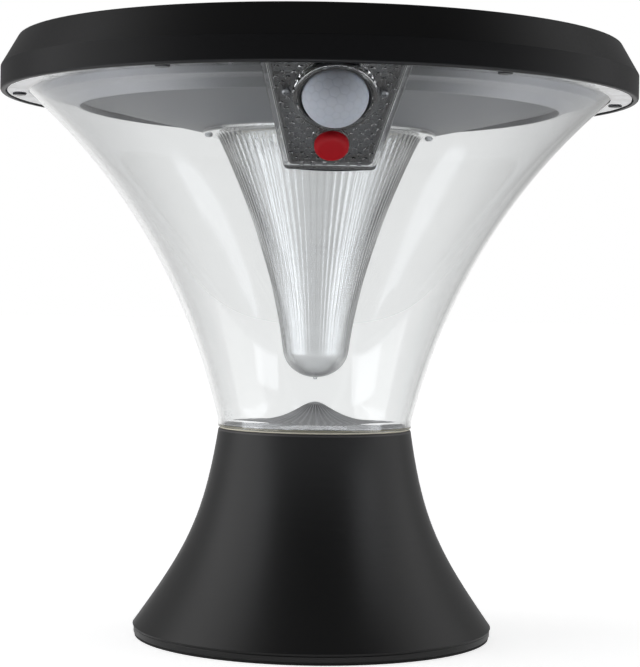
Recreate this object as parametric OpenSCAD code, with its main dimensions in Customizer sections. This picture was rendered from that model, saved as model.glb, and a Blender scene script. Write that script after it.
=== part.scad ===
// Solar pedestal light: a round solar head on a clear trumpet shade, on a black bell-shaped pedestal.
// Millimetres, +Z up. The origin is the centre of the foot, on the ground, and the motion sensor faces -Y.

/* [Base plate] */
// Thickness of the rubber pad under the base plate
foot_pad_t = 1.5; // [1:0.5:4]
// Radial width of the rubber pad
foot_pad_w = 19; // [10:1:24]
// How far the base plate's edge lies inside the pedestal's foot
plate_inset = 0.6; // [0.2:0.2:2]
// Thickness of the base plate
base_plate_t = 3.5; // [2.5:0.5:6]
// Height of the ring that centres the pedestal
upstand_h = 12; // [10:1:16]
// Wall of the ring that centres the pedestal
upstand_wall = 3.5; // [2.5:0.5:6]
// Distance of the anchor holes from the plate's edge
anchor_inset = 28.8; // [20:0.2:36]
// Radius of an anchor hole
anchor_hole_r = 4.5; // [3:0.5:6]

/* [Pedestal] */
// Height of the pedestal casting
pedestal_h = 115.3; // [100:1:140]
// Radius of the pedestal at its foot
skirt_r = 104.4; // [104:0.2:115]
// Radius of the pedestal at its neck
neck_r = 56.4; // [54:0.2:60]
// Wall of the pedestal, measured level
pedestal_wall = 4; // [3:0.5:5]
// Lean of the wall at the neck, in degrees from upright
neck_lean = 8.4; // [4:0.2:14]
// How far the neck's lean reaches down
neck_pull = 53.4; // [40:1:60]
// Lean of the wall at the foot, in degrees from upright
skirt_lean = 35.3; // [28:0.5:40]
// How far the foot's lean reaches up
skirt_pull = 50.4; // [40:1:60]
// Wall of the pedestal round the shade's spigot
neck_wall = 3; // [2.4:0.1:3.8]
// Rounding of the neck's rim
neck_round = 1.6; // [0.8:0.2:2]
// Thickness of the deck inside the neck
deck_t = 4; // [3:0.5:6]
// How far the deck reaches in past the spigot's flange
deck_lip_w = 4; // [2:0.5:8]
// Height of the gussets under the deck
gusset_h = 24; // [16:1:36]
// Thickness of a gusset
gusset_t = 3; // [2:0.5:4]
// Radius of a side set screw
set_screw_r = 2.5; // [2:0.5:3]
// Length of a side set screw
set_screw_l = 7; // [6.5:0.5:9]
// Height of the side set screws above the base plate
set_screw_rise = 6; // [5:0.5:7]
// Angle of the side set screws from the front
set_screw_angle = 115; // [100:5:150]

/* [Clear shade] */
// Depth of the shade's spigot in the neck
spigot_h = 14; // [10:1:20]
// Wall of the spigot
spigot_wall = 2.8; // [2:0.2:4]
// Thickness of the spigot's inward flange
spigot_flange_t = 3.5; // [3:0.5:5]
// Width of the spigot's inward flange
spigot_flange_w = 15; // [13:0.5:20]
// Thickness of the gasket between shade and pedestal
neck_gasket_t = 0.9; // [0.6:0.1:2]
// Height of the shade's straight neck band
neck_band_h = 4; // [2:0.5:8]
// Height of the flared part of the shade
flare_h = 186.8; // [160:1:210]
// Wall of the shade
shade_wall = 3; // [2.4:0.1:3.4]
// Width of the flange round the shade's mouth
flange_w = 12.4; // [11.6:0.1:14]
// Lean of the shade at its neck, in degrees from upright
flare_neck_lean = 16; // [10:1:20]
// How far the neck's lean reaches up
flare_neck_pull = 23.6; // [15:1:35]
// Lean of the shade at its mouth, in degrees from upright
flare_mouth_lean = 49; // [44:1:52]
// How far the mouth's lean reaches down
flare_mouth_pull = 114; // [95:1:120]
// Thickness of the shade's flange
flange_t = 3; // [2.5:0.5:4]
// Number of flange screws
flange_screws_n = 6; // [3:3:6]
// Distance of the seal outside the shade's mouth
seal_out = 0.8; // [0.4:0.1:1.2]
// Width of the seal under the head
seal_w = 3; // [2:0.2:3]
// Thickness of the seal under the head
seal_t = 1.8; // [1.2:0.2:2.6]

/* [Head rim] */
// Outer radius of the rim
rim_r = 184; // [170:0.5:206]
// How far the rim's lip hangs below the flange
rim_lip_h = 0.6; // [0.2:0.2:2]
// Height of the rim's upright band
rim_band_h = 13.8; // [13.6:0.2:18]
// Height of the rim's sloping band
rim_bevel_h = 17.3; // [17:0.5:24]
// How far the sloping band leans in
rim_bevel_w = 10; // [8:0.5:10]
// Width of the rim's flat top
rim_top_w = 8; // [5:0.5:14]
// Wall of the rim
rim_wall = 3; // [2:0.5:3]
// Width of the shelf that takes the flange screws
rim_shelf_w = 13; // [10:0.5:13]
// Thickness of that shelf
rim_shelf_t = 4; // [3:0.5:5]
// Width of the ledge under the solar panel
panel_ledge_w = 10; // [6:1:14]
// Thickness of the ledge under the solar panel
panel_ledge_t = 3; // [2:0.5:4]

/* [Solar panel] */
// Gap between the glass and the rim
glass_gap = 0.6; // [0.3:0.1:2]
// Thickness of the glass
glass_t = 2.8; // [2:0.2:4]
// How far the glass lies below the rim's top
glass_recess = 0.3; // [0:0.1:1]
// Thickness of the backsheet
backsheet_t = 1; // [0.8:0.1:1.6]
// Thickness of a solar cell
cell_t = 0.4; // [0.2:0.1:0.6]
// Thickness of the cell ribbons
ribbon_t = 0.2; // [0.1:0.05:0.3]
// Width of a cell ribbon
ribbon_w = 1.4; // [0.8:0.2:2]
// Length of a solar cell
cell_l = 38; // [30:1:60]
// Width of a solar cell
cell_w = 24; // [20:1:40]
// Gap between solar cells
cell_gap = 1.5; // [1:0.5:3]
// Clear margin round the cells
cell_margin = 7; // [4:1:20]
// Thickness of the adhesive bead under the panel
adhesive_t = 0.8; // [0.4:0.1:1.2]
// Length, width and height of the junction box
junction_size = [60, 40, 12]; // [8:1:70]

/* [Head pan] */
// Thickness of the pan's floor and dish
pan_t = 2.5; // [2:0.1:3]
// Thickness of the pan's flange
pan_flange_t = 4; // [3.5:0.5:5]
// How far the drum lies inside the shade's mouth
drum_inset = 8.5; // [8:0.1:12]
// How far the drum hangs into the shade
drum_h = 4.7; // [3:0.1:5]
// Width of the flat ring between the drum and the dish
ring_flat_w = 11.5; // [9:0.5:14]
// Depth of the dish below the pan's flange
dish_depth = 21; // [19:0.5:24]
// How far the flat floor reaches beyond the cone's flange
floor_margin = 2.3; // [1:0.1:8]
// How far the floor reaches in over the light cone
floor_lip_w = 3.9; // [3:0.1:7]

/* [Light cone] */
// Width of the cone's flange
cone_flange_w = 7.8; // [7:0.1:9]
// Thickness of the cone's flange
cone_flange_t = 2.5; // [2:0.1:3]
// Radius of the cone under its flange
cone_r = 59.9; // [52:0.1:68]
// Radius of the cone where its round tip starts
cone_tip_r = 19.6; // [16:0.2:22]
// Height of the round tip
cone_tip_h = 17.4; // [14:0.2:20]
// Height of the cone's tip above the pedestal's shoulder
cone_tip_rise = 29; // [20:0.5:50]
// Wall of the cone
cone_wall = 2.2; // [1.6:0.1:2.6]
// Lean of the cone at its flange, in degrees from upright
cone_lean = 26; // [20:1:28]
// How far that lean reaches down
cone_pull = 45; // [35:1:50]
// Lean of the cone above its tip, in degrees from upright
cone_tip_lean = 7.5; // [5:0.5:10]
// How far that lean reaches up
cone_tip_pull = 41; // [35:1:50]
// Distance of the cone screws from the flange's edge
cone_screw_inset = 3.4; // [3:0.1:3.8]
// Radius of the moulding stub on the tip
stub_r = 1.2; // [0.8:0.1:2]
// Length of the moulding stub
stub_h = 1; // [0.5:0.1:2]
// How far the LED board lies on the floor
led_board_lap = 10; // [9:0.1:11]
// Thickness of the LED board
led_board_t = 1.6; // [1:0.1:2]
// Length, width and height of an LED
led_size = [3.5, 2.8, 0.7]; // [0.5:0.1:4]
// Number of LEDs in each ring
led_counts = [24, 12]; // [6:1:36]
// Distances of the LED rings from the edge of the opening over the cone
led_ring_inset = [8, 26]; // [4:1:36]

/* [Reflector] */
// Height of the reflector's peak above its rim
peak_h = 12.4; // [8:0.2:16]
// Radius at which the peak has fallen by half
peak_w = 15; // [10:0.5:20]
// Thickness of the reflector
reflector_t = 1.5; // [1:0.1:2]
// Depth of the reflector's skirt
reflector_skirt_h = 3; // [2:0.5:3.5]

/* [Sensor window] */
// Tilt of the window from upright, in degrees
sensor_tilt = 45; // [44:0.5:46]
// How far the window's top stands out past the shade's mouth
sensor_top_out = 5.6; // [5:0.1:6]
// Length of the window down its slope
window_l = 74; // [72:0.2:76]
// Width of the window at its top
window_top_w = 78; // [76:0.5:80]
// Width of the window at its bottom
window_bottom_w = 47.4; // [46:0.2:50]
// Radius of the window's bottom corners
window_corner_r = 3; // [1:0.5:5]
// Thickness of the window's face
window_t = 2.5; // [2:0.1:2.6]
// Depth of the clear window
window_depth = 6; // [5.6:0.1:7]
// Width of the window's side walls
window_wall = 2.5; // [2:0.1:3]
// Thickness of the gasket behind the window
window_gasket_t = 0.8; // [0.5:0.1:1.2]
// Depth of the sensor housing behind the gasket
housing_depth = 9.7; // [9.2:0.1:11]
// Wall of the sensor housing
housing_wall = 2; // [1.6:0.1:2.4]
// Distance of the dome's ring from the window's top
dome_ring_margin = 0.6; // [0.4:0.1:2]
// Radius of the motion sensor's dome lens
dome_r = 17.2; // [16:0.1:17.3]
// Wall of the dome lens
dome_wall = 0.8; // [0.6:0.1:1.2]
// Width of the annular gap that the dome's bezel fills
dome_gap_w = 2.1; // [1.6:0.1:3]
// Wall of the ring round the dome
dome_ring_w = 2.3; // [1.6:0.1:3]
// Height of the ring round the dome
dome_ring_h = 4.8; // [2:0.1:6]
// Distance of the window screws outside the dome's ring
window_screw_out = 3; // [2.4:0.1:4]
// Length of the window screws
window_screw_l = 22; // [20:0.5:24]
// Distance of the sensor board behind the gasket
sensor_board_drop = 1.8; // [1.6:0.1:2.2]
// Thickness of the sensor board
sensor_board_t = 1.6; // [1:0.1:2]
// Radius of the sensor's metal can
can_r = 4.6; // [4:0.1:5]
// Height of the sensor's metal can
can_h = 4.5; // [3:0.1:5]
// Half the distance between the sensor board's screws
sensor_screw_x = 17; // [16:0.2:18]
// Distance of the sensor board's screws above the button's middle
sensor_screw_rise = 10.6; // [8:0.1:12]

/* [Mode button] */
// Distance of the button's middle from the window's bottom
button_inset = 17.4; // [16:0.1:20]
// Radius of the button
button_r = 9; // [7:0.1:9.4]
// How far the button stands out of the window
button_rise = 3.9; // [2:0.1:5]
// Rounding of the button's edge
button_round = 1.6; // [0.6:0.1:1.9]
// Width of the button's collar
button_collar_w = 2; // [1:0.1:3]
// Thickness of the button's collar
button_collar_t = 1.5; // [1:0.1:1.6]
// Radius of the button's stem
button_stem_r = 2.2; // [1.9:0.1:3]
// How far the button is pressed
button_travel = 1; // [0.5:0.1:1]
// Side of the switch under the button
switch_w = 6; // [5:0.5:8]
// Height of the switch under the button
switch_h = 1.6; // [1.4:0.1:1.9]
// Radius of the switch's plunger
plunger_r = 1.7; // [1.2:0.1:2]

/* [Battery and control board] */
// Radius of a battery cell
battery_r = 9.2; // [8:0.1:9.4]
// Length of a battery cell
battery_l = 65; // [60:1:68]
// Clear distance between the cradle's back corners and the drum
battery_margin = 16.3; // [4:0.1:24]
// Thickness of the battery cradle
cradle_t = 2; // [1.6:0.2:3]
// Height of the cradle's walls
cradle_wall_h = 9; // [6:1:14]
// Thickness of the weld strips on the cells
weld_strip_t = 0.3; // [0.2:0.05:0.5]
// Length and width of the control board
board_size = [112, 46]; // [40:1:116]
// Clear distance between the control board's front corners and the drum
board_margin = 23.7; // [10:0.1:30]
// Thickness of the control board
board_t = 1.6; // [1:0.1:2]
// Gap under the cradle and the control board
standoff_h = 2.2; // [2:0.1:3]

/* [Fasteners and fits] */
// Radius of the large screws
screw_r = 2; // [1.5:0.1:2]
// Head radius of the large screws
screw_head_r = 4; // [3.2:0.1:4.2]
// Head height of the large screws
screw_head_h = 2.2; // [1.6:0.1:2.8]
// Radius of the small screws
small_screw_r = 1.25; // [1:0.05:1.3]
// Head radius of the small screws
small_head_r = 2.3; // [1.8:0.1:2.4]
// Head height of the small screws
small_head_h = 1.4; // [1:0.1:1.8]
// Width of the slots in the screw heads
driver_slot_w = 0.7; // [0.4:0.1:1]
// Clearance of a screw in its hole
screw_gap = 0.1; // [0.05:0.05:0.2]
// Clearance between pieces that fit in each other
fit_gap = 0.4; // [0.2:0.05:0.5]
// Clearance of the moving button
button_gap = 0.3; // [0.2:0.05:0.5]
// Clearance of the plunger in its switch
plunger_gap = 0.1; // [0.05:0.05:0.2]
// Radius of a two-core lead
lead_r = 1.3; // [0.8:0.1:1.5]

/* [Hidden] */
$fn = 96;
far = 400;
curve_steps = 20;
neck_screws_n = 4;
cone_screws_n = 4;
anchors_n = 4;
gussets_n = 6;
battery_rows = 3;
battery_columns = 2;
edge_round = 1.2;
thread_end = 0.3;
can_flange_w = 0.4;
plate_round = 0.6;
rim_gap = 0.6;
// How far the sensor's pieces are drawn past the head before they are trimmed to it
trim_over = 30;

// Levels, from the ground up
plate_z = foot_pad_t;
skirt_z = plate_z + base_plate_t;
neck_z = skirt_z + pedestal_h;
shoulder_z = neck_z + neck_gasket_t;
spigot_z = shoulder_z - spigot_h;
deck_z = spigot_z - deck_t;
flare_z = shoulder_z + neck_band_h;
flange_z = flare_z + flare_h;
pan_flange_z = flange_z + flange_t;
shelf_z = pan_flange_z + pan_flange_t;
rim_z = flange_z - rim_lip_h;
bevel_z = rim_z + rim_band_h;
rim_top_z = bevel_z + rim_bevel_h;
glass_z = rim_top_z - glass_recess - glass_t;
cell_z = glass_z - ribbon_t - cell_t;
backsheet_z = cell_z - backsheet_t;
ledge_z = backsheet_z - adhesive_t;
drum_z = pan_flange_z - drum_h;
floor_z = pan_flange_z - dish_depth;
led_board_z = floor_z + pan_t;
cone_top_z = floor_z - cone_flange_t;
cone_tip_z = shoulder_z + cone_tip_rise;
cone_bend_z = cone_tip_z + cone_tip_h;
cradle_z = drum_z + pan_t + standoff_h;
reflector_z = shoulder_z + edge_round;

// Levels behind the window's face, square to it
gasket_z = -window_depth - window_gasket_t;
board_face_z = gasket_z - sensor_board_drop;
housing_back_z = gasket_z - housing_depth;
post_foot_z = housing_back_z + housing_wall / 2;

// Radii that follow from the driving sizes
base_plate_r = skirt_r - plate_inset;
anchor_circle_r = base_plate_r - anchor_inset;
neck_bore_r = neck_r - neck_wall;
spigot_r = neck_bore_r - fit_gap;
spigot_flange_hole_r = spigot_r - spigot_flange_w;
deck_hole_r = spigot_flange_hole_r - deck_lip_w;
neck_screw_circle_r = spigot_r - spigot_wall - screw_head_r - 0.7;
flange_r = rim_r - rim_wall - rim_gap;
mouth_r = flange_r - flange_w;
seal_r = mouth_r + seal_out;
flange_screw_circle_r = seal_r + seal_w + screw_r + 2 * screw_gap;
pocket_r = rim_r - rim_bevel_w - rim_top_w;
glass_r = pocket_r - glass_gap;
ledge_r = pocket_r - panel_ledge_w;
drum_r = mouth_r - drum_inset;
dish_r = drum_r - ring_flat_w;
cone_flange_r = cone_r + cone_flange_w;
cone_screw_circle_r = cone_flange_r - cone_screw_inset;
floor_r = cone_flange_r + floor_margin;
floor_hole_r = cone_r - floor_lip_w;
led_board_r = floor_hole_r + led_board_lap;
led_screw_circle_r = (floor_hole_r + led_board_r) / 2;
boss_r = screw_r + 2;

// Places on the window, measured down its slope or across it
sensor_top_r = mouth_r + sensor_top_out;
dome_hole_r = dome_r + dome_gap_w;
dome_ring_r = dome_hole_r + dome_ring_w;
pir_drop = dome_ring_r + dome_ring_margin;
window_screw_x = dome_ring_r + window_screw_out;
button_drop = window_l - button_inset;
button_collar_r = button_r + button_collar_w;
sensor_screw_drop = button_drop - sensor_screw_rise;

// Places in the head
drum_inner_r = drum_r - pan_t;
cradle_l = battery_columns * battery_l + 8;
cradle_w = battery_rows * 2 * battery_r + 6;
battery_y = sqrt(pow(drum_inner_r - battery_margin, 2) - pow(cradle_l / 2, 2)) - cradle_w / 2;
board_y = sqrt(pow(drum_inner_r - board_margin, 2) - pow(board_size[0] / 2, 2)) - board_size[1] / 2;
// The cable hole is in the pan's flat ring, over the back of the sensor board
cable_hole = [0, -sensor_top_r + 24.1];

// Profiles, as lists of [radius, height]
neck_point = [neck_r, neck_z - neck_round];
skirt_point = [skirt_r, skirt_z + edge_round];
pedestal_curve = curve([
    neck_point,
    neck_point + neck_pull * [sin(neck_lean), -cos(neck_lean)],
    skirt_point - skirt_pull * [sin(skirt_lean), -cos(skirt_lean)],
    skirt_point
]);
// The shade's outer diameter matches the pedestal's neck
flare_curve_points = [
    [neck_r + 0.2, flare_z],
    [neck_r + 0.2, flare_z] + flare_neck_pull * [sin(flare_neck_lean), cos(flare_neck_lean)],
    [mouth_r, flange_z] - flare_mouth_pull * [sin(flare_mouth_lean), cos(flare_mouth_lean)],
    [mouth_r, flange_z]
];
cone_curve_points = [
    [cone_r, cone_top_z],
    [cone_r, cone_top_z] - cone_pull * [sin(cone_lean), cos(cone_lean)],
    [cone_tip_r, cone_bend_z] + cone_tip_pull * [sin(cone_tip_lean), cos(cone_tip_lean)],
    [cone_tip_r, cone_bend_z]
];
pan_underside = [
    [flange_r, pan_flange_z],
    [drum_r, pan_flange_z],
    [drum_r, drum_z],
    [dish_r, drum_z],
    [floor_r, floor_z],
    [floor_hole_r, floor_z]
];

// Curves and outlines

function bezier(p, t) =
    pow(1 - t, 3) * p[0] + 3 * pow(1 - t, 2) * t * p[1] + 3 * (1 - t) * t * t * p[2] + pow(t, 3) * p[3];

function curve(p, n = curve_steps) = [for (i = [0 : n]) bezier(p, i / n)];

function bezier_slope(p, t) =
    3 * pow(1 - t, 2) * (p[1] - p[0]) + 6 * (1 - t) * t * (p[2] - p[1]) + 3 * t * t * (p[3] - p[2]);

// The same curve, moved square to itself by d, to the left of its direction
function curve_beside(p, d, n = curve_steps) = [
    for (i = [0 : n])
        let (s = bezier_slope(p, i / n), side = [-s[1], s[0]] / norm(s))
        bezier(p, i / n) + d * side
];

function reversed(list) = [for (i = [len(list) - 1 : -1 : 0]) list[i]];

function unit(v) = v / norm(v);

// The arc of radius r that rounds the corner b between a and c
function corner(a, b, c, r, n = 4) =
    let (
        u = unit(a - b),
        w = unit(c - b),
        half = acos(u * w) / 2,
        middle = b + unit(u + w) * r / sin(half),
        from = b + u * r / tan(half) - middle,
        to = b + w * r / tan(half) - middle,
        start = atan2(from[1], from[0]),
        turn = (atan2(to[1], to[0]) - start + 540) % 360 - 180
    )
    [for (i = [0 : n]) middle + r * [cos(start + turn * i / n), sin(start + turn * i / n)]];

// An outline whose points are [x, y] or [x, y, corner radius]
function rounded(points) = [
    for (i = [0 : len(points) - 1])
        let (
            n = len(points),
            a = points[(i + n - 1) % n],
            b = points[i],
            c = points[(i + 1) % n]
        )
        each (len(b) == 3
            ? corner([a[0], a[1]], [b[0], b[1]], [c[0], c[1]], b[2])
            : [b])
];

// A smooth line through the points
function smooth(p, n = 4) = [
    for (i = [0 : len(p) - 2], k = [0 : n - 1])
        let (
            a = p[max(i - 1, 0)],
            b = p[i],
            c = p[i + 1],
            d = p[min(i + 2, len(p) - 1)],
            t = k / n
        )
        0.5 * (2 * b + (c - a) * t + (2 * a - 5 * b + 4 * c - d) * t * t
            + (3 * b - a - 3 * c + d) * t * t * t),
    p[len(p) - 1]
];

// Shared shapes

module revolved(points) {
    rotate_extrude() polygon(points);
}

module ring(outer, inner, h) {
    difference() {
        cylinder(r = outer, h = h);
        translate([0, 0, -1]) cylinder(r = inner, h = h + 2);
    }
}

// Copies round the axis, the first at angle start from the front
module around(n, r, start = 0) {
    for (i = [0 : n - 1]) rotate([0, 0, start + i * 360 / n - 90]) translate([r, 0, 0]) children();
}

// A cross-slot screw with its head's bearing face at z = 0 and its shank pointing up
module screw(r, l, head_r, head_h) {
    slot_d = head_h * 0.55;
    difference() {
        revolved([
            [0, -head_h],
            [head_r * 0.62, -head_h],
            [head_r * 0.92, -head_h * 0.6],
            [head_r, -head_h * 0.2],
            [head_r, 0],
            [r, 0],
            [r, l - r / 2],
            [r / 2, l],
            [0, l]
        ]);
        for (a = [0, 90])
            rotate([0, 0, a])
                translate([-head_r * 0.55, -driver_slot_w / 2, -head_h - 1])
                    cube([head_r * 1.1, driver_slot_w, slot_d + 1]);
    }
}

// Clearance holes for the two sizes of screw
module large_hole(h) {
    cylinder(r = screw_r + screw_gap, h = h);
}

module small_hole(h) {
    cylinder(r = small_screw_r + screw_gap, h = h);
}

// A round lead along the points. Its flat ends are square to its first and last stretch, or to last_way.
module tube(points, r, last_way = undef, sides = 6) {
    path = smooth(points);
    n = len(path);
    last = len(points) - 1;
    rings = [
        for (i = [0 : n - 1])
            let (
                ahead = unit(
                    i == 0 ? points[1] - points[0]
                    : i < n - 1 ? path[i + 1] - path[i - 1]
                    : is_undef(last_way) ? points[last] - points[last - 1]
                    : last_way
                ),
                across = unit(cross(ahead, [0.31, 0.17, 0.93])),
                up = cross(across, ahead)
            )
            for (k = [0 : sides - 1])
                path[i] + r * (cos(k * 360 / sides) * across + sin(k * 360 / sides) * up)
    ];
    walls = [
        for (i = [0 : n - 2], k = [0 : sides - 1])
            let (
                a = i * sides + k,
                b = i * sides + (k + 1) % sides
            )
            each [[a, b, a + sides], [b, b + sides, a + sides]]
    ];
    ends = [
        for (k = [1 : sides - 2])
            each [[0, k + 1, k], [(n - 1) * sides, (n - 1) * sides + k, (n - 1) * sides + k + 1]]
    ];
    polyhedron(rings, concat(walls, ends));
}

// Base plate and pedestal

module foot_pad() {
    pad_r = base_plate_r - plate_round;
    color("#191919") ring(pad_r, pad_r - foot_pad_w, foot_pad_t);
}

upstand_r = pedestal_inner_r(skirt_z + upstand_h) - fit_gap;

// Radius of the pedestal's inner wall at a height
function pedestal_inner_r(z) = lookup(z, [for (p = reversed(pedestal_curve)) [p[1], p[0]]]) - pedestal_wall;

module base_plate() {
    color("#1b1b1d")
        difference() {
            union() {
                translate([0, 0, plate_z])
                    revolved(rounded([
                        [0, 0],
                        [base_plate_r, 0, plate_round],
                        [base_plate_r, base_plate_t, plate_round],
                        [0, base_plate_t]
                    ]));
                translate([0, 0, plate_z + base_plate_t / 2])
                    ring(upstand_r, upstand_r - upstand_wall, upstand_h + base_plate_t / 2);
            }
            around(anchors_n, anchor_circle_r, 45)
                translate([0, 0, -1]) cylinder(r = anchor_hole_r, h = skirt_z + 2);
        }
}

module set_screw_place() {
    for (side = [-1, 1])
        rotate([0, 0, -90 + side * set_screw_angle])
            translate([upstand_r, 0, skirt_z + set_screw_rise])
                rotate([0, 90, 0]) children();
}

module set_screws() {
    socket_r = set_screw_r * 0.55;
    socket_h = 3;
    color("#9a9a9a")
        set_screw_place()
            difference() {
                cylinder(r = set_screw_r, h = set_screw_l);
                translate([0, 0, set_screw_l - socket_h]) cylinder(r = socket_r, h = socket_h + 1, $fn = 6);
            }
}

module gussets() {
    intersection() {
        translate([0, 0, deck_z - gusset_h])
            around(gussets_n, 0)
                rotate([90, 0, 0])
                    translate([0, 0, -gusset_t / 2])
                        linear_extrude(gusset_t)
                            polygon([
                                [deck_hole_r + 6, gusset_h],
                                [neck_r * 2, gusset_h],
                                [neck_r * 2, 0],
                                [neck_r, 0]
                            ]);
        revolved(concat(
            [[0, neck_z - 2], [neck_r - 2, neck_z - 2]],
            [for (p = pedestal_curve) if (p[1] > skirt_z + 20) [p[0] - pedestal_wall / 2, p[1]]],
            [[0, skirt_z + 20]]
        ));
    }
}

module pedestal() {
    wall = [pedestal_wall, 0];
    color("#232324")
        difference() {
            union() {
                revolved(concat(
                    [[neck_r - pedestal_wall, neck_z]],
                    corner([0, neck_z], [neck_r, neck_z], neck_point, neck_round - 0.1, 5),
                    pedestal_curve,
                    [[skirt_r - 0.5, skirt_z], [skirt_r - pedestal_wall, skirt_z]],
                    reversed([for (p = pedestal_curve) p - wall])
                ));
                translate([0, 0, deck_z]) ring(pedestal_inner_r(deck_z) + 1, deck_hole_r, deck_t);
                gussets();
                set_screw_place()
                    translate([0, 0, fit_gap]) cylinder(r = set_screw_r + 2.5, h = 5.5);
            }
            translate([0, 0, spigot_z]) cylinder(r = neck_bore_r, h = spigot_h + 5);
            around(neck_screws_n, neck_screw_circle_r, 45)
                translate([0, 0, deck_z - 1]) large_hole(deck_t + 2);
            set_screw_place()
                translate([0, 0, -1]) cylinder(r = set_screw_r + screw_gap, h = 20);
        }
}

module neck_gasket() {
    color("#c9c1a3")
        translate([0, 0, neck_z]) ring(neck_r - neck_round + 0.6, neck_bore_r + 0.1, neck_gasket_t);
}

module neck_screws() {
    color("#b8b8ba")
        around(neck_screws_n, neck_screw_circle_r, 45)
            translate([0, 0, deck_z])
                screw(screw_r, deck_t + spigot_flange_t + 4, screw_head_r, screw_head_h);
}

// Reflector in the shade's neck

reflector_r = neck_r - shade_wall + 0.2 - fit_gap;
peak_rest = 1 / (1 + pow(reflector_r / peak_w, 2));

function reflector_height(r) = peak_h * (1 / (1 + pow(r / peak_w, 2)) - peak_rest) / (1 - peak_rest);

module reflector() {
    skirt_r = spigot_r - spigot_wall - fit_gap;
    top = [for (i = [0 : 16]) let (r = reflector_r * i / 16) [r, reflector_height(r) + reflector_t]];
    color("#c4c5c7")
        translate([0, 0, reflector_z])
            revolved(concat(
                top,
                [
                    [reflector_r, 0],
                    [skirt_r, 0],
                    [skirt_r, -reflector_skirt_h],
                    [skirt_r - reflector_t, -reflector_skirt_h]
                ],
                reversed([for (p = top) if (p[0] < skirt_r - reflector_t) p - [0, reflector_t]])
            ));
}

// Clear shade

module shade() {
    spigot_in = spigot_r - spigot_wall;
    inner = curve_beside(flare_curve_points, shade_wall);
    color("#e8ecee", 0.3)
        difference() {
            union() {
                revolved(concat(
                    [
                        [spigot_flange_hole_r, spigot_z],
                        [spigot_r, spigot_z],
                        [spigot_r, shoulder_z],
                        [neck_r + 0.2, shoulder_z]
                    ],
                    curve(flare_curve_points),
                    [[flange_r, flange_z], [flange_r, pan_flange_z], [inner[curve_steps][0], pan_flange_z]],
                    reversed(inner),
                    [
                        [neck_r + 0.2 - shade_wall, reflector_z],
                        [spigot_in, reflector_z],
                        [spigot_in, spigot_z + spigot_flange_t],
                        [spigot_flange_hole_r, spigot_z + spigot_flange_t]
                    ]
                ));
                around(neck_screws_n, neck_screw_circle_r, 45)
                    translate([0, 0, spigot_z + 1])
                        cylinder(r = boss_r, h = spigot_flange_t + 5);
            }
            around(neck_screws_n, neck_screw_circle_r, 45)
                translate([0, 0, spigot_z - 1])
                    large_hole(spigot_flange_t + 5 + thread_end);
            around(flange_screws_n, flange_screw_circle_r, 180 / flange_screws_n)
                translate([0, 0, flange_z - 1]) large_hole(flange_t + 2);
            window_cut();
        }
}

// The hole in the shade that the sensor window stands in
module window_cut() {
    // How far the cut reaches in front of the window's face
    front_h = 12.4;
    at_window() {
        translate([0, 0, -trim_over])
            linear_extrude(trim_over + fit_gap) window_outline(-fit_gap, trim_over);
        translate([0, 0, -1]) linear_extrude(front_h) window_outline(-fit_gap, -8);
        translate([0, -pir_drop, -1]) cylinder(r = dome_ring_r + fit_gap, h = dome_ring_h + 3);
    }
}

module flange_screws() {
    color("#2a2a2c")
        around(flange_screws_n, flange_screw_circle_r, 180 / flange_screws_n)
            translate([0, 0, flange_z])
                screw(screw_r, flange_t + pan_flange_t + rim_shelf_t + 3, screw_head_r, screw_head_h);
}

module shade_seal() {
    color("#3c3c3c") translate([0, 0, pan_flange_z]) ring(seal_r + seal_w, seal_r, seal_t);
}

// Head pan, and what hangs below it

pan_top_dish = [for (p = pan_underside) p + [0, pan_t]];
cradle_posts = [for (x = [-1, 1], y = [-1, 1]) [x * (battery_l - 6), battery_y + y * 22]];
board_posts = [
    for (x = [-1, 1], y = [-1, 1])
        [x * (board_size[0] / 2 - 5), y * (board_size[1] / 2 - 5) - board_y]
];

// Height of the pan's upper face at a radius
function pan_top_z(r) =
    r < floor_r ? floor_z + pan_t
    : r < dish_r ? floor_z + pan_t + (drum_z - floor_z) * (r - floor_r) / (dish_r - floor_r)
    : drum_z + pan_t;

module post(p, post_r, hole_r) {
    foot_z = pan_top_z(norm(p)) - pan_t / 2;
    translate([p[0], p[1], foot_z])
        difference() {
            cylinder(r = post_r, h = cradle_z - foot_z);
            translate([0, 0, cradle_z - foot_z - 5]) cylinder(r = hole_r, h = 6);
        }
}

// The space that the pan fills, with all above it, and a gap below it
module pan_envelope(gap) {
    revolved([
        [10, floor_z - gap],
        [floor_r, floor_z - gap],
        [dish_r, drum_z - gap],
        [drum_r + gap, drum_z - gap],
        [drum_r + gap, pan_flange_z],
        [far, pan_flange_z],
        [far, far],
        [10, far]
    ]);
}

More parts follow.
